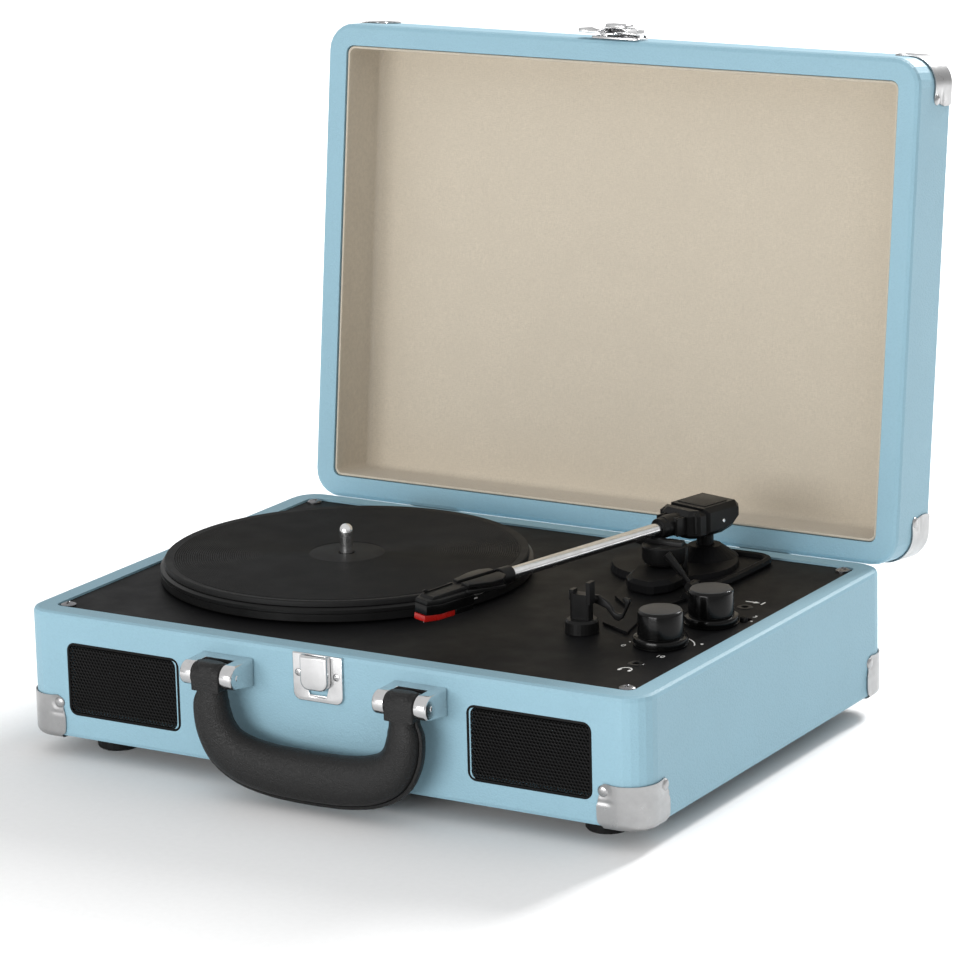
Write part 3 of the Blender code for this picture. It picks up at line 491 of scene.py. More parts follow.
CAP_GAP = 0.3
CAP_STAND = 0.9
CAP_TOP = 21.2
CAP_REACH = 22.6
CAP_FLARE = 1.8
CAP_TUCK = 3.0
CAP_LIP = 11.0
CAP_ROUND = 3.6
TUCK_START = 0.72
TUCK_LENGTH = 0.6
EDGE_ROUND = 2.4
HALF_ARC = CORNER_RADIUS * math.pi / 4
RIVET_ALONG = HALF_ARC + 6.5
RIVET_HEIGHT = 18.0
# The cap's top edge rises over a rivet. Its skin is pressed in round the rivet, and along a crease below it.
RISE, RISE_SPREAD = 0.7, 4
DIP, DIP_SPREAD = 0.45, 4.2
CREASE, CREASE_SPREAD, CREASE_HEIGHT, CREASE_HALF = 0.4, 4.5, 12.6, 0.9
RIVET = [(0, 1.0), (1.1, 0.93), (2, 0.7), (2.7, 0.3), (2.9, -0.1), (2.9, -0.3), (0, -0.3)]
CORNERS = {"front_left": (-1, -1), "front_right": (1, -1), "rear_left": (-1, 1), "rear_right": (1, 1)}


def cap_point(corner, outer, up, share, drop, out):
    """A point of a cap's skin, which stands off the wall by out.

    Share runs from one straight end (-1) round the corner (0) to the other (1). Drop runs from the top
    edge (0) to the rounded edge (1), round it (2) and across the lip (3)."""
    down = min(drop, 1)
    tuck = max(0, min((drop - TUCK_START) / TUCK_LENGTH, 1))
    straight = CAP_REACH + CAP_FLARE * min(down * 2, 1) - CAP_TUCK * tuck ** 2 - CORNER_RADIUS
    along = abs(share) * (HALF_ARC + straight)
    to_end = HALF_ARC + straight - along
    top = CAP_TOP + RISE * math.exp(-(((along - RIVET_ALONG) / RISE_SPREAD) ** 2))
    if to_end < CAP_ROUND:
        top -= CAP_ROUND - math.sqrt(CAP_ROUND ** 2 - (CAP_ROUND - to_end) ** 2)
    height = top + (EDGE_ROUND - top) * down
    if drop <= 1 and out > CAP_GAP:
        away = math.hypot(along - RIVET_ALONG, height - RIVET_HEIGHT)
        below = math.exp(-(((height - CREASE_HEIGHT) / CREASE_HALF) ** 2))
        below *= math.exp(-(((along - RIVET_ALONG) / CREASE_SPREAD) ** 4))
        out -= DIP * math.exp(-((away / DIP_SPREAD) ** 6)) + CREASE * below
    depth = -out
    if drop > 1:
        bend = min(drop - 1, 1) * math.pi / 2
        depth = EDGE_ROUND - (EDGE_ROUND + out) * math.cos(bend)
        height = EDGE_ROUND - (EDGE_ROUND + out) * math.sin(bend)
    if drop > 2:
        depth += (CAP_LIP - EDGE_ROUND) * (drop - 2)
    if along <= HALF_ARC:
        angle = math.pi / 4 + math.copysign(along, share) / CORNER_RADIUS
        radius = CORNER_RADIUS - depth
        from_side = CORNER_RADIUS - radius * math.sin(angle)
        from_end = CORNER_RADIUS - radius * math.cos(angle)
    else:
        far = CORNER_RADIUS + along - HALF_ARC
        from_side, from_end = (depth, far) if share > 0 else (far, depth)
    side, end = corner
    x = side * (CASE_WIDTH / 2 - from_side)
    y = end * (CASE_DEPTH / 2 - from_end)
    return Vector((x, y, outer + up * height))


def corner_cap(name, body, frame_of, corner, outer, up):
    """A pressed cap round one corner of the case, with a domed rivet on each wall."""
    bm = bmesh.new()
    shares = [-1 + i / 32 for i in range(65)]
    drops = [i / 24 for i in range(25)] + [1 + i / 6 for i in range(1, 7)] + [2 + i / 3 for i in range(1, 4)]
    skins = []
    for out in (CAP_STAND, CAP_GAP):
        rows = [[cap_point(corner, outer, up, share, drop, out) for share in shares] for drop in drops]
        skins.append([[bm.verts.new(point) for point in row] for row in rows])
    outside, inside = skins
    strips = [pair for skin in skins for pair in zip(skin, skin[1:])]
    strips += [(outside[0], inside[0]), (outside[-1], inside[-1])]
    strips += [([row[k] for row in outside], [row[k] for row in inside]) for k in (0, -1)]
    for first, second in strips:
        bridge(bm, first, second, closed=False)
    side, end = corner
    far = CORNER_RADIUS + RIVET_ALONG - HALF_ARC
    z = outer + up * RIVET_HEIGHT
    stand = CAP_STAND - 0.6
    on_end = (side * (CASE_WIDTH / 2 - far), end * (CASE_DEPTH / 2 + stand), z)
    on_side = (side * (CASE_WIDTH / 2 + stand), end * (CASE_DEPTH / 2 - far), z)
    lathe(bm, RIVET, on_end, facing(0, end, 0), 24)
    lathe(bm, RIVET, on_side, facing(side, 0, 0), 24)
    piece("pressed_" + name, bm, NICKEL, body, frame_of, 40, [name])


for where, corner in CORNERS.items():
    corner_cap(f"base_corner_{where}", "base", CASE, corner, -BASE_HEIGHT, 1)
    corner_cap(f"lid_corner_{where}", "lid", LID, corner, LID_TOP, -1)

# ---------------------------------------------------------------- carrying handle

PIVOT_Y = -144.0
PIVOT_Z = -14.0
BRACKET_X = 54.7
HANDLE_SHIFT = 2.4
# The grip's necks, and the brackets' cheeks and feet
NECK_DROP = 7
NECK_ROUND = 6.4
NECK_HALF = 8.1
CHEEK_INNER = 8.3
CHEEK_OUTER = 15
FOOT_Y = -129.3
FOOT_TOP = -7.8
FOOT_BOTTOM = -22
# Half of the grip's loop from a neck to the middle: the way across, the drop, the width and the depth
GRIP_HALF = [
    (54.7, -6.5, 14.8, 5.4),
    (54.7, -5.4, 15.8, 9.4),
    (54.7, -3, 16, 11.6),
    (54.7, 2, 16, 12.4),
    (54.8, 9, 16, 12.8),
    (55.1, 13, 18.6, 13.8),
    (55.2, 18, 20, 14.8),
    (53, 27, 21.8, 15.4),
    (47, 35.3, 24.2, 16),
    (36.4, 40.6, 25.8, 16.4),
    (22, 43.2, 26.6, 16.6),
    (8, 43.9, 27, 16.6),
]
# Half of the grip's section from the seam at its outer edge inwards, as shares of its half width and depth
GRIP_SECTION = [
    (1, 0.12), (0.97, 0.24), (0.86, 0.3), (0.825, 0.24), (0.81, 0.38), (0.77, 0.55),
    (0.68, 0.74), (0.54, 0.88), (0.34, 0.97), (0.1, 1), (-0.16, 0.99),
    (-0.42, 0.92), (-0.66, 0.78), (-0.84, 0.57), (-0.96, 0.3), (-1, 0.08),
]


def add_handle():
    """The padded grip, one section swept along its loop, and the necks that the pins go through."""
    bm = bmesh.new()
    line = GRIP_HALF + [(-x, *rest) for x, *rest in reversed(GRIP_HALF)]
    line = smoothed(line, 96)
    section = GRIP_SECTION + [(a, -b) for a, b in reversed(GRIP_SECTION)]
    spots = [Vector((HANDLE_SHIFT + x, PIVOT_Y, PIVOT_Z - drop)) for x, drop, _, _ in line]
    rows = []
    for i, (_, _, width, depth) in enumerate(line):
        along = (spots[min(i + 1, len(spots) - 1)] - spots[max(i - 1, 0)]).normalized()
        across = along.cross(Vector((0, 1, 0)))
        offsets = [across * (a * width / 2) + Vector((0, b * depth / 2, 0)) for a, b in section]
        rows.append([bm.verts.new(spots[i] + offset) for offset in offsets])
    for first, second in zip(rows, rows[1:]):
        bridge(bm, first, second)
    bm.faces.new(rows[0][::-1])
    bm.faces.new(rows[-1])
    neck = [(PIVOT_Y - 6.3, PIVOT_Z - NECK_DROP)] + arc(PIVOT_Y, PIVOT_Z, NECK_ROUND, 180, 0, 20)
    neck += [(PIVOT_Y + 4.8, PIVOT_Z - NECK_DROP)]
    for side in (-1, 1):
        middle = Matrix.Translation((HANDLE_SHIFT + side * BRACKET_X, 0, 0)) @ SIDEWAYS
        plate(bm, [ordered(neck)], -NECK_HALF, NECK_HALF, (1.1, 1.1), middle, 4)
    piece("stitched_grip", bm, GRIP, "handle", CASE, 30, ["handle_grip"])


def add_brackets():
    """A bridge on the wall and two rounded cheeks, with the grip's neck and its pin between them."""
    cheek = [(FOOT_Y, FOOT_BOTTOM)] + arc(PIVOT_Y, PIVOT_Z, 6, 270, 75, 18) + [(FOOT_Y, FOOT_TOP)]
    profile = ordered(cheek)
    back = ordered([(FOOT_Y, FOOT_BOTTOM), (FOOT_Y, FOOT_TOP), (-136.2, -8.1), (-136.2, -21.2)])
    rivet = [(0, 0.75), (1.1, 0.6), (1.5, 0.2), (1.5, -0.6), (0, -0.6)]
    for side, side_name in ((-1, "left"), (1, "right")):
        bm = bmesh.new()
        centre = HANDLE_SHIFT + side * BRACKET_X
        middle = Matrix.Translation((centre, 0, 0)) @ SIDEWAYS
        plate(bm, [profile], CHEEK_INNER, CHEEK_OUTER, (0.4, 1.4), middle, 6)
        plate(bm, [profile], -CHEEK_OUTER, -CHEEK_INNER, (1.4, 0.4), middle, 6)
        plate(bm, [back], -9, 9, (0.3, 0.3), middle)
        for end in (-1, 1):
            at = (centre + end * 14.8, PIVOT_Y, PIVOT_Z)
            lathe(bm, rivet, at, facing(end, 0, 0), 20)
        node = f"handle_bracket_{side_name}"
        piece(f"bracket_{side_name}", bm, CHROME, "base", CASE, 35, [node])


add_handle()
add_brackets()

# ---------------------------------------------------------------- speaker meshes

SPEAKER_X = 116.5
SPEAKER_Z = -33.0
MESH_PITCH = 1.85
MESH_WIRE = 0.42


def add_speaker_mesh(side, side_name):
    """A pressed sheet with a flat border and a field of six-sided holes."""
    bm = bmesh.new()
    width, height, border = 67.4, 37.6, 1.5
    row_step = MESH_PITCH * math.sqrt(3) / 2
    limit = Vector((width / 2 - border + 0.5, height / 2 - border + 0.3))
    field = Matrix.Translation((side * (SPEAKER_X - 0.9), FRONT + 0.35, SPEAKER_Z)) @ FRONTAL
    outer = MESH_PITCH / math.sqrt(3)
    inner = outer - MESH_WIRE
    rows = int(limit.y / row_step)
    for j in range(-rows, rows + 1):
        shift = MESH_PITCH / 2 if j % 2 else 0
        columns = int((limit.x - shift) / MESH_PITCH)
        for i in range(-columns - (1 if shift else 0), columns + 1):
            centre = (i * MESH_PITCH + shift, j * row_step)
            rings = []
            for radius, level in ((outer, -0.35), (outer, 0.25), (inner, 0.1), (inner, -0.35)):
                spots = [Vector((*spot, level)) for spot in arc(*centre, radius, 30, 330, 5)]
                rings.append([bm.verts.new(field @ spot) for spot in spots])
            bridge(bm, rings[1], rings[2])
            bridge(bm, rings[2], rings[3])
            bridge(bm, rings[3], rings[0])
    bmesh.ops.remove_doubles(bm, verts=bm.verts, dist=0.01)
    plate(bm, [rounded(61, 32.4, 2.6, 5)], -2.4, -1.7, (0, 0), field)
    edge = rounded(width, height, 4.6, 6)
    opening = rounded(width - 2 * border, height - 2 * border, 2.4, 6)[::-1]
    plate(bm, [edge, opening], -0.7, 0.55, (0.2, 0.35), field)
    cross_screw(bm, field @ Vector((-27.8, -13.6, 0.2)), (0, -1, 0), 0.9, 0.5)
    node = f"speaker_grille_{side_name}"
    piece(f"speaker_mesh_{side_name}", bm, MESH, "base", CASE, 30, [node])


add_speaker_mesh(-1, "left")
add_speaker_mesh(1, "right")

# ---------------------------------------------------------------- latch and hasp

# Plates on the front wall lie between these two levels, and their screws sit on them
BED_BACK = 129.45
BED_FACE = 130.65
BED_SCREW_Y = -130.5
# The flap's hinge line
HASP_Y = -132.4
HASP_Z = 11.5


def add_latch():
    """The screwed bed with its narrowing window, and the sliding cover over it."""
    bm = bmesh.new()
    plate_edge = [(14, -1), (-14, -1)] + arc(-10, -20.6, 4, 180, 270, 6) + arc(10, -20.6, 4, 270, 360, 6)
    window = [(-6.6, -15), (6.6, -15), (4.6, -22), (-4.6, -22)]
    plate(bm, [plate_edge, window], BED_BACK, BED_FACE, (0.1, 0.45), FRONTAL)
    bar = ordered([(-6.6, -21.2), (6.6, -21.2), (6.6, -22.6), (-6.6, -22.6)])
    plate(bm, [bar], 129.5, 130.2, (0, 0.2), FRONTAL)
    for side in (-1, 1):
        cross_screw(bm, (side * 10.8, BED_SCREW_Y, -10.7), (0, -1, 0), 1.9, 0.7, 0.5 + side)
    piece("latch_bed", bm, CHROME, "base", CASE, 35, ["latch_plate"])
    bm = bmesh.new()
    foot = arc(-3.2, -13.5, 4.5, 180, 270, 6) + arc(3.2, -13.5, 4.5, 270, 360, 6)
    plate(bm, [[(7.7, -1), (-7.7, -1)] + foot], 133.2, 134.55, (0.1, 1.15), FRONTAL, 5)
    notched = [(7.7, -1), (5.7, -1), (5.7, -11), (-5.7, -11), (-5.7, -1), (-7.7, -1)] + foot
    plate(bm, [notched], 130.95, 133.35, (0.2, 0), FRONTAL)
    piece("latch_cover", bm, CHROME, "latch_slide", CASE, 35, ["latch_slide"])


def add_hasp():
    """The keeper's ears stay on the lid; the arched flap, its raised pad and its tongue turn on them."""
    bm = bmesh.new()
    plate(bm, [rounded(28, 12.4, 1.6, 4, 0, 7.4)], BED_BACK, BED_FACE, (0.1, 0.4), FRONTAL)
    for side in (-1, 1):
        knuckle = [(1.0, 2), (1.9, 2), (2.2, 1.7), (2.2, -1.7), (1.9, -2), (1.0, -2)]
        lathe(bm, knuckle, (side * 10.8, HASP_Y, HASP_Z), facing(1, 0, 0), 20, True)
        brick(bm, (4, 2.6, 3.4), (side * 10.8, -131.2, 11.2), 0.3, 0.5)
        cross_screw(bm, (side * 11.4, BED_SCREW_Y, 5.2), (0, -1, 0), 1.4, 0.5, side)
    piece("hasp_keeper", bm, CHROME, "lid", LID, 35, ["hasp_plate"])
    bm = bmesh.new()
    arch = [(-21, 2.2), (-19.4, 2.6), (-17, 1.9), (-13, 1.3), (-9.6, 1.5), (-7.6, 2.6), (-5.4, 3.7)]
    arch += [(0, 4.0), (5.4, 3.7), (7.6, 2.6), (9.6, 1.3), (13.4, 1.0)]
    under = [(x * (0.93 if abs(x) < 9 else 1), y - (2.1 if x < -16 else 1)) for x, y in reversed(arch)]
    across = Matrix(((1, 0, 0, 0), (0, -1, 0, -132.0), (0, 0, 1, 0), (0, 0, 0, 1)))
    plate(bm, [ordered(arch + under)], 0, 12.6, (0.35, 0.35), across)
    plate(bm, [rounded(13, 9.4, 1.8, 4, 0, 6.4)], 135.4, 137.4, (0, 0.9), FRONTAL, 4)
    plate(bm, [rounded(9, 10, 1.2, 4, 0, -2.6)], 131.9, 132.9, (0.25, 0.25), FRONTAL)
    barrel = [(0, 8.6), (1.9, 8.6), (2.1, 8.3), (2.1, -8.3), (1.9, -8.6), (0, -8.6)]
    lathe(bm, barrel, (0, HASP_Y, HASP_Z), facing(1, 0, 0), 20)
    pin = [(0, 13.2), (0.8, 13.0), (0.8, -13.0), (0, -13.2)]
    lathe(bm, pin, (0, HASP_Y, HASP_Z), facing(1, 0, 0), 12)
    piece("hasp_flap", bm, CHROME, "hasp", LID, 35, ["hasp"])


add_latch()
add_hasp()

# ---------------------------------------------------------------- lid lining

WALLS = 23.2
LINING_PLAY = 0.6
LINING_WIDTH = CASE_WIDTH - WALLS - LINING_PLAY
LINING_DEPTH = CASE_DEPTH - WALLS - LINING_PLAY
LINING_TOP = 34.7
LINING_RIM = 1.5


def add_lining():
    """A felted tray with a rolled edge, soft inner corners and a slightly padded panel."""
    bm = bmesh.new()
    edge = ((0.0, 0.6), (0.25, 0.15), (0.7, 0), (1.2, 0.2), (1.4, 0.9), (1.2, 2.2))
    panel = ((1.2, 4.2), (1.5, 2.7), (2.5, 1.6), (4.2, 1.35), (9, 1.5), (24, 1.9), (60, 2.1), (100, 2.2))
    inner = [(shrink, LINING_RIM + above) for shrink, above in edge]
    inner += [(shrink, LINING_TOP - below) for shrink, below in panel]
    rows = []
    for shrink, level in [(0.0, LINING_TOP)] + inner:
        corner = max(4.2 - shrink * 0.7, 0.6)
        outline = rounded(LINING_WIDTH - 2 * shrink, LINING_DEPTH - 2 * shrink, corner, 6)
        rows.append([bm.verts.new((x, y, level)) for x, y in outline])
    for first, second in zip(rows, rows[1:]):
        bridge(bm, first, second)
    bm.faces.new(rows[0])
    bm.faces.new(rows[-1])
    piece("felt_lining", bm, LINING, "lid", LID, 50, ["lid_lining"])


add_lining()

# ---------------------------------------------------------------- platter, mat and spindle

PLATTER_X = -66.0
DECK_Z = -1.0
RIB_COUNT = 62
RIB_START = 19.2
RIB_PITCH = 1.12


def add_platter():
    """The turned platter with its grooved rim, the ribbed mat on it and the spindle through both."""
    bm = bmesh.new()
    profile = [(3.7, 7.3), (93.2, 7.3), (93.8, 7.15), (94.4, 6.6), (95, 6.3), (95, 5.0), (94.5, 4.8)]
    profile += [(94.5, 4.4), (95, 4.2), (95, 0.6), (94.6, 0.2), (93.4, 0.2), (93.4, 5.7), (62, 5.7)]
    profile += [(62, 0.8), (60.4, 0.8), (60.4, 5.7), (9, 5.7), (9, 0.4), (3.7, 0.4)]
    lathe(bm, profile, (PLATTER_X, 0, 0), None, 160, True)
    piece("turned_platter", bm, BLACK, "platter", CASE, 30, ["platter"])
    bm = bmesh.new()
    rings = [(4, 7.6), (4, 9.6), (4.5, 10.0), (18, 10.0)]
    for i in range(RIB_COUNT):
        radius = RIB_START + i * RIB_PITCH
        rings += [(radius, 9.9), (radius + 0.28, 10.3), (radius + 0.74, 10.3), (radius + 1.02, 9.9)]
    rings += [(91.0, 10.2), (92.2, 10.3), (92.8, 9.9), (93, 9.3), (93, 7.6)]
    lathe(bm, rings, (PLATTER_X, 0, 0), None, 160, True)
    piece("ribbed_mat", bm, RUBBER, "platter", CASE, 25, ["slip_mat"])
    bm = bmesh.new()
    spindle = [(0, 25), (1.2, 24.85), (2.2, 24.3), (3, 23.2), (3.35, 21.8), (3.4, 20.6)]
    spindle += [(3.4, -4.3), (9, -4.3), (9, -7), (4, -7), (4, -12), (0, -12)]
    lathe(bm, spindle, (PLATTER_X, 0, 0), None, 40)
    piece("turned_spindle", bm, TUBE, "base", CASE, 35, ["spindle"])


add_platter()

# ---------------------------------------------------------------- deck fittings, knobs and legends

VOLUME = (138.9, -42.6)
SELECTOR = (143.5, 0.3)
HEADPHONES_X = 143.5
SWITCH_X = 156
PRINT_DEPTH = 0.06


def add_knob(name, body, at):
    """A knob with a slightly tapered grip on a rounded skirt, and a satin disc in its top, coloured grey as
    painted sheen.
    """
    bm = bmesh.new()
    profile = [(0, 17.4), (3, 17.38), (6.5, 17.2), (9, 16.9), (10.2, 16.5), (10.8, 15.9), (11.05, 15.1)]
    profile += [(11.3, 4.6), (11.0, 4.3), (11.0, 3.9), (12.4, 3.75), (13.1, 3.4), (13.4, 2.7), (13.4, 1.0)]
    profile += [(13.0, 0.8), (13.0, 0.4), (13.4, 0.2), (13.4, -0.6), (3.4, -0.6), (3.4, 10.5), (0, 10.5)]
    lathe(bm, profile, (*at, 0), None, 72)
    piece(name + "_body", bm, GLOSS, body, CASE, 30, [name])
    bm = bmesh.new()
    disc = [(0, 17.62), (3, 17.6), (6.5, 17.42), (9, 17.1), (9.9, 16.9), (10.1, 16.6), (9.6, 16.4)]
    lathe(bm, disc + [(0, 16.4)], (*at, 0), None, 72)
    # The top disc's grey colour is painted sheen
    piece(name + "_top", bm, SATIN_TOP_PAINTED_SHEEN, body)


def add_text(bm, text, at, size):
    """Printed figures, as thin solids."""
    curve = bpy.data.curves.new("figures", "FONT")
    curve.body = text
    curve.size = size
    curve.align_x = "CENTER"
    curve.align_y = "CENTER"
    curve.extrude = PRINT_DEPTH / 2
    holder = bpy.data.objects.new("figures", curve)
    bpy.context.scene.collection.objects.link(holder)
    graph = bpy.context.evaluated_depsgraph_get()
    mesh = bpy.data.meshes.new_from_object(holder.evaluated_get(graph))
    mesh.transform(Matrix.Translation((*at, DECK_Z + PRINT_DEPTH / 2)))
    bm.from_mesh(mesh)
    bpy.data.objects.remove(holder)
    bpy.data.curves.remove(curve)
    bpy.data.meshes.remove(mesh)


def add_print():
    """Generic marks: arcs, dots and figures round the knobs, headphones, and an arrow into a bar."""
    bm = bmesh.new()
    marks = [arc(*VOLUME, 16.4, 20, 66, 10) + arc(*VOLUME, 15.8, 66, 20, 10)]
    marks += [arc(*SELECTOR, 16.2, 192, 228, 8) + arc(*SELECTOR, 15.6, 228, 192, 8)]
    for x, y, radius in ((156.1, -33.2, 0.8), (123.3, -44.9, 0.5), (159.4, 11.8, 0.6)):
        marks.append(arc(x, y, radius, 0, 330, 11))
    for side in (-1, 1):
        marks.append(rounded(1.5, 2.6, 0.5, 3, HEADPHONES_X + side * 2.7, -86.6))
    marks += [arc(HEADPHONES_X, -85.6, 3.3, 0, 180, 16) + arc(HEADPHONES_X, -85.6, 2.6, 180, 0, 16)]
    arrow = [(140.6, 41.6), (145.4, 41.6), (145.4, 40.5), (148.4, 42.1), (145.4, 43.7), (145.4, 42.6)]
    marks += [ordered(arrow + [(140.6, 42.6)]), rounded(0.9, 4.6, 0.3, 2, 150.2, 42.1)]
    for outline in marks:
        plate(bm, [outline], DECK_Z, DECK_Z + PRINT_DEPTH, (0, 0))
    figures = [("0", 123.4, -51.6, 4.6), ("10", 148.0, -60.0, 4.6), ("1", 127.2, -6.0, 4.4)]
    figures += [("2", 128.5, 12.4, 4.4), ("3", 157.4, 19.6, 4.4)]
    for text, x, y, size in figures:
        add_text(bm, text, (x, y), size)
    piece("deck_print", bm, WHITE, "base")


def add_deck_fittings():
    """Two sockets, a small ribbed switch and the deck's four screws."""
    bm = bmesh.new()
    socket = [(1.75, 0.2), (2.1, 0.45), (3.6, 0.4), (4.0, 0.1), (4.0, 0), (3.0, 0), (3.0, -6), (1.75, -6)]
    for x, y in ((HEADPHONES_X, -75.5), (145.2, 32.1)):
        lathe(bm, socket, (x, y, DECK_Z), None, 32, True)
        lathe(bm, [(0, -6.2), (2.6, -6.2), (2.6, -7), (0, -7)], (x, y, DECK_Z), None, 24)
    brick(bm, (3.2, 3.2, 3.4), (SWITCH_X, 10.3, DECK_Z + 0.2), 0.3, 0.5)
    for k in range(3):
        brick(bm, (3.0, 0.4, 0.5), (SWITCH_X, 9.3 + k, DECK_Z + 1.95), 0.1, 0.15)
    piece("deck_sockets", bm, BLACK, "base")
    spots = [(side * 159.3, end * 112.6, DECK_Z + 0.4) for side in (-1, 1) for end in (-1, 1)]
    screws("deck_screws", spots, (0, 0, 1), 3.9, 1.3, DARK_METAL, "base")


add_knob("volume_knob", "volume_knob", VOLUME)
add_knob("selector_knob", "selector_knob", SELECTOR)
add_print()
add_deck_fittings()

# ---------------------------------------------------------------- tonearm

SHELL_LEAN = math.radians(5)
WING_TILT = math.radians(7)
LIFT_CUP = (87, 57)


def add_tonearm():
    """The tube, the faceted housing with its rear shoulder, and the pivot points, on the arm's own line."""
    bm = bmesh.new()
    tube = [(0, 26), (3.1, 26), (3.1, 143.3), (2.9, 143.5), (0, 143.5)]
    lathe(bm, tube, (0, 0, 0), facing(0, -1, 0), 48)
    piece("polished_tube", bm, TUBE, "arm", ARM, 35, ["arm_tube"])
    bm = bmesh.new()
    wide = ordered([(-9, -22), (8, -22), (12.8, -17.4), (12.8, -13.2), (-13.8, -13.2), (-13.8, -17.4)])
    plate(bm, [wide], -7.4, 7.0, (1.8, 2.6), None, 1)
    rear = [(-12.7, -7.6), (1, -7.6), (8.4, -6), (14, -1.6), (14, 4.6), (11.2, 7.35), (-12.7, 7.35)]
    plate(bm, [ordered(rear)], -14, 13, (2.6, 2.6), SIDEWAYS, 1)
    core = [(-12.4, -20), (11.4, -20), (11.4, 4), (-12.4, 4)]
    plate(bm, [core], -5.6, 6.2, (1.4, 1.4), None, 1)
    panel = [(-9.6, -9.6), (8.6, -9.6), (8.6, 7.2), (6.4, 9.6), (-7.4, 9.6), (-9.6, 7.2)]
    plate(bm, [panel], 7.0, 7.75, (0, 0.2))
    collar = [(3.4, 21), (5.6, 21), (5.6, 31.8), (5.2, 32.2), (5.1, 35), (4.8, 35.4), (3.3, 35.4)]
    lathe(bm, collar, (0, 0, 0), facing(0, -1, 0), 40, True)
    shoulder = [(-6.3, -28.5), (6.3, -28.5), (6.3, -20), (-6.3, -20)]
    plate(bm, [shoulder], -4.5, 4.5, (1.4, 1.4), None, 1)
    for side in (-1, 1):
        rib = [(-28.6, -4.6), (-21, -4.6), (-21, 4.6), (-28.6, 4.6)]
        plate(bm, [rib], side * 6.6 - 0.6, side * 6.6 + 0.6, (0.3, 0.3), SIDEWAYS)
    piece("arm_block", bm, BLACK, "arm", ARM, 28, ["arm_housing"])
    bm = bmesh.new()
    for side in (-1, 1):
        at = (-0.5 + side * 13.3, 0, -1)
        lathe(bm, [(0, 0.5), (0.7, 0.45), (1.0, 0.2), (1.0, -0.8), (0, -0.8)], at, facing(side, 0, 0), 20)
    piece("pivot_points", bm, TUBE, "arm", ARM)


def mirrored(right_side):
    """An outline about the arm's own line, from the points of its right side, front last."""
    return ordered(right_side + [(-x, y) for x, y in reversed(right_side)])


def add_headshell():
    """A shell that leans to the knobs' side, with roof-like wings, rails and a spine down to its nose."""
    lean = Matrix.Rotation(SHELL_LEAN, 4, "Y")
    bm = bmesh.new()
    sleeve = [(3.2, 142), (3.9, 142), (4.3, 142.5), (4.3, 149.6), (4, 150), (3.2, 150)]
    lathe(bm, sleeve, (0, 0, 0), facing(0, -1, 0), 40, True)
    spine = [(-148.6, -2.2), (-148.6, 1.6), (-176, 2.6), (-198.6, 1.9), (-202.4, -1.4), (-172, -1.5)]
    plate(bm, [ordered(spine)], -4.2, 4.2, (0.5, 0.5), lean @ SIDEWAYS)
    ledge = mirrored([(5.2, -158), (6.4, -174), (6.6, -196), (3.9, -202.6)])
    plate(bm, [ledge], -1.5, 0.7, (0.2, 0.5), lean)
    for side in (-1, 1):
        roof = lean @ Matrix.Translation((0, 0, 3.2)) @ Matrix.Rotation(side * WING_TILT, 4, "Y")
        wing = [(1.4, -177), (1.4, -151.6), (5.6, -151), (8.6, -155.5), (8.6, -163), (5.2, -176)]
        plate(bm, [ordered([(side * x, y) for x, y in wing])], -0.9, 0.9, (0.2, 0.35), roof)
        rail = [(-152.4, -3.2), (-152.4, -1.2), (-178.2, 1.4), (-179, 0.6), (-178, -0.4)]
        plate(bm, [ordered(rail)], side * 6.6 - 1.1, side * 6.6 + 1.1, (0.4, 0.4), lean @ SIDEWAYS)
        plate(bm, [rounded(2.2, 18, 0.5, 2, side * 4.8, -161)], -2.4, 2.6, (0.2, 0.2), lean)
    rib = [(-179, 2.4), (-197.4, 1.8), (-199, 3.4), (-197, 3.6), (-195.4, 2.6), (-179, 3.1)]
    plate(bm, [ordered(rib)], -3.4, -2.6, (0.15, 0.15), lean @ SIDEWAYS)
    piece("winged_headshell", bm, BLACK, "arm", ARM, 28, ["headshell"])
    bm = bmesh.new()
    plate(bm, [mirrored([(6.6, -173.3), (6.6, -196), (3.9, -202.8)])], -6.7, -1.6, (0.3, 0.4), lean)
    plate(bm, [rounded(13.2, 12, 0.6, 3, 0, -179.3)], -9.3, -6.5, (0.5, 0.1), lean)
    piece("cartridge_body", bm, GLOSS, "arm", ARM, 30, ["cartridge"])
    bm = bmesh.new()
    plate(bm, [mirrored([(6.0, -185.6), (6.0, -196.5), (3.6, -203.4)])], -10, -6.8, (0.7, 0.15), lean)
    piece("stylus_guard", bm, RED, "arm", ARM, 30, ["stylus"])
    bm = bmesh.new()
    for x in (-3.9, -1.3, 1.3, 3.9):
        for z in (-3.4, -5.4):
            pipe(bm, [(x, -173.8, z), (x, -169, z)], 0.4, 10)
        lead = [(x, -170.6, -3.4), (x, -166.4, -3.4), (x * 0.9, -163.4, -3.2), (x * 0.6, -158, -2.2)]
        pipe(bm, lead, [0.75, 0.75, 0.45, 0.4], 10)
    pipe(bm, [(0, -190, -9.6), (0, -201.4, -10.6), (0, -201.8, -11.1)], [0.35, 0.3, 0.05], 8)
    piece("cartridge_leads", bm, STEEL, "arm", ARM)


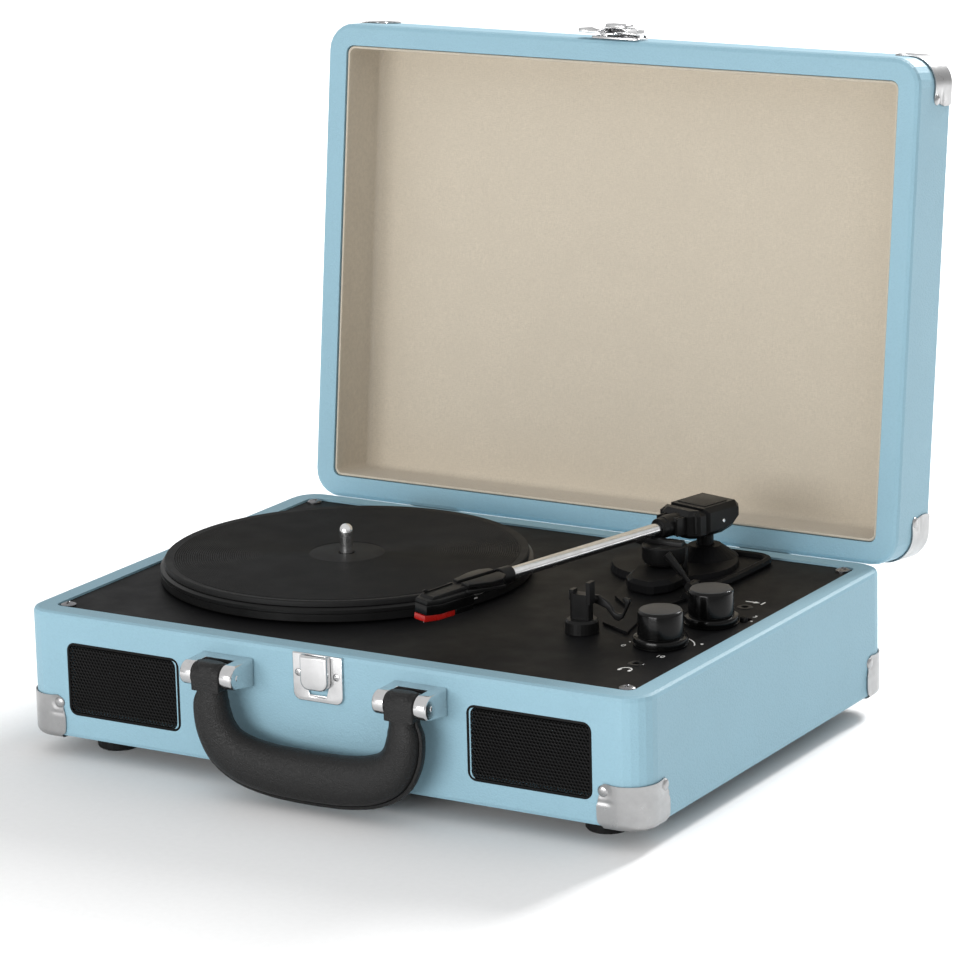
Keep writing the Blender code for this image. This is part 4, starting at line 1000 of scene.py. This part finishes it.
def add_lift():
    """The lift's cup, and the crescent round the arm's pivot with its post."""
    bm = bmesh.new()
    cup = [(0, 18.4), (10.8, 18.4), (11.4, 17.8), (11.3, 11.4), (10.4, 9.4), (8.2, 8.2), (5, 7.9), (3, 7.9)]
    lathe(bm, cup + [(3, 2), (0, 2)], (*LIFT_CUP, 0), None, 48)
    crescent = arc(0, 0, 41.6, 232, 282, 24) + arc(0, 0, 36.6, 282, 232, 24)
    over_pivot = Matrix.Translation((ARM_PIVOT.x, ARM_PIVOT.y, 0))
    plate(bm, [ordered(crescent)], 15.8, 20.8, (0.6, 0.9), over_pivot)
    brick(bm, (2.6, 3.4, 16), (97.2, 59.4, 9.6), 0.4, 0.6)
    piece("lift_cradle", bm, BLACK, "base", CASE, 30, ["lift_bar"])


add_tonearm()
add_headshell()
add_lift()

# ---------------------------------------------------------------- rear, underside and rest clip

HINGE_X = 100.0
REAR_FACE = 130.5
JACK_PANEL_X = 40.0
JACK_PANEL_Z = -42.0
UNDERSIDE = -64.2


def add_rear():
    """The screws of the hinges, of the jack panel and of the underside."""
    across = [side * HINGE_X + step for side in (-1, 1) for step in (-8.5, 8.5)]
    spots = [(x, REAR_FACE, z) for x in across for z in (-13.5, -22.5)]
    screws("hinge_base_screws", spots, (0, 1, 0), 2.2, 0.8, STEEL, "base")
    spots = [(x, REAR_FACE, z) for x in across for z in (5.5, 14)]
    screws("hinge_lid_screws", spots, (0, 1, 0), 2.2, 0.8, STEEL, "lid", LID)
    spots = [(JACK_PANEL_X + x, REAR_FACE + 0.4, JACK_PANEL_Z) for x in (-23.5, 23.5)]
    screws("jack_panel_screws", spots, (0, 1, 0), 1.8, 0.7, DARK_METAL, "base")
    spots = [(x, y, UNDERSIDE) for x in (-156, 0, 156) for y in (-109, 109)]
    screws("underside_screws", spots, (0, 0, -1), 3.2, 1.1, DARK_METAL, "base")


def add_clip():
    """The rest's hinged claw: a round bite in a pointed hook with a thumb tab at its end."""
    bm = bmesh.new()
    claw = [(96.6, 16.4), (96.6, 12.8), (100, 12.2), (104.6, 10.6), (109.2, 5.7), (111.4, 5.1), (113.6, 6.5)]
    claw += [(116, 11.2), (117.9, 15.3), (117.7, 16.7), (114.3, 17.1), (113.9, 16.2), (115, 14.8)]
    claw += arc(111.4, 12.4, 3.6, 0, -170, 14) + [(104.6, 14.8), (100.4, 16.8)]
    plate(bm, [ordered(claw)], 33.1, 35.1, (0.3, 0.5), FRONTAL)
    boss = [(0, 0.9), (1.2, 0.8), (1.5, 0.4), (1.5, -0.4), (0, -0.4)]
    lathe(bm, boss, (99.1, -34.9, 14.6), facing(0, -1, 0), 24)
    piece("rest_claw", bm, BLACK, "arm_clip", CASE, 30, ["arm_clip"])


add_rear()
add_clip()

# ---------------------------------------------------------------- camera, light and floor

CAMERA_TURN = math.radians(31.24)
CAMERA_LIFT = math.radians(14.28)
CAMERA_ROLL = math.radians(-1.44)
CAMERA_DISTANCE = 2118.75
CAMERA_TARGET = Vector((14.35, 0, 56.67))
SENSOR = 36.0
LENS = 159.763875
FAR_CLIP = 50
SURROUNDINGS = 0.76
FLOOR_HALF = 12.0


def add_camera():
    """A long lens from the front right, a little above the case."""
    flat = math.cos(CAMERA_LIFT)
    back = Vector((math.sin(CAMERA_TURN) * flat, -math.cos(CAMERA_TURN) * flat, math.sin(CAMERA_LIFT)))
    level = Vector((0, 0, 1)).cross(back).normalized()
    rise = back.cross(level)
    right = math.cos(CAMERA_ROLL) * level + math.sin(CAMERA_ROLL) * rise
    up = -math.sin(CAMERA_ROLL) * level + math.cos(CAMERA_ROLL) * rise
    data = bpy.data.cameras.new("camera")
    data.sensor_width = SENSOR
    data.lens = LENS
    data.clip_end = FAR_CLIP
    camera = bpy.data.objects.new("camera", data)
    turn = Matrix((right, up, back)).transposed().to_4x4()
    camera.matrix_world = Matrix.Translation(CASE @ (CAMERA_TARGET + back * CAMERA_DISTANCE)) @ turn
    bpy.context.scene.collection.objects.link(camera)
    bpy.context.scene.camera = camera


def add_light(name, at, target, size, power):
    """A softbox of a width and a height, at a point in metres and aimed at another."""
    data = bpy.data.lights.new(name, "AREA")
    data.shape = "RECTANGLE"
    data.size, data.size_y = size
    data.energy = power
    light = bpy.data.objects.new(name, data)
    light.location = at
    light.rotation_euler = (Vector(at) - Vector(target)).to_track_quat("Z", "Y").to_euler()
    bpy.context.scene.collection.objects.link(light)


def add_world():
    """Even studio surroundings, a little darker towards the ground so that chrome has something to show."""
    world = bpy.data.worlds.new("studio")
    world.use_nodes = True
    tree = world.node_tree
    tree.nodes.clear()
    direction = add(tree, "TexCoord", out="Generated")
    height = add(tree, "SeparateXYZ", {"Vector": direction}, out="Z")
    tone = mixed(tree, ranged(tree, height, 0, 1, 0.0, 0.35), (0.5, 0.5, 0.5, 1), (1, 1, 1, 1))
    light = add(tree, "Background", {"Color": tone, "Strength": SURROUNDINGS})
    tree.links.new(light, tree.nodes.new("ShaderNodeOutputWorld").inputs["Surface"])
    bpy.context.scene.world = world


def add_floor():
    """A wide, pale floor."""
    mesh = bpy.data.meshes.new("floor")
    corners = [(x * FLOOR_HALF, y * FLOOR_HALF, 0) for x, y in ((-1, -1), (1, -1), (1, 1), (-1, 1))]
    mesh.from_pydata(corners, [], [(0, 1, 2, 3)])
    floor = bpy.data.objects.new("floor", mesh)
    bpy.context.scene.collection.objects.link(floor)
    made, tree, shader = new_material("pale_floor")
    grain = noise(tree, place_of(tree), 300, 2)
    tint = mixed(tree, ranged(tree, grain, 0, 1), (0.9, 0.9, 0.9, 1), (0.92, 0.92, 0.92, 1))
    tree.links.new(tint, shader.inputs["Base Color"])
    shader.inputs["Roughness"].default_value = 0.7
    mesh.materials.append(made)


add_camera()
add_world()
add_floor()
add_light("key", (0.3, 2.6, 1.9), (0, 0, 0.1), (0.7, 0.7), 130)
add_light("front_fill", (-0.35, -2.5, 0.5), (0, 0, 0.15), (1.8, 0.7), 36)
bpy.context.scene.view_settings.view_transform = "Standard"
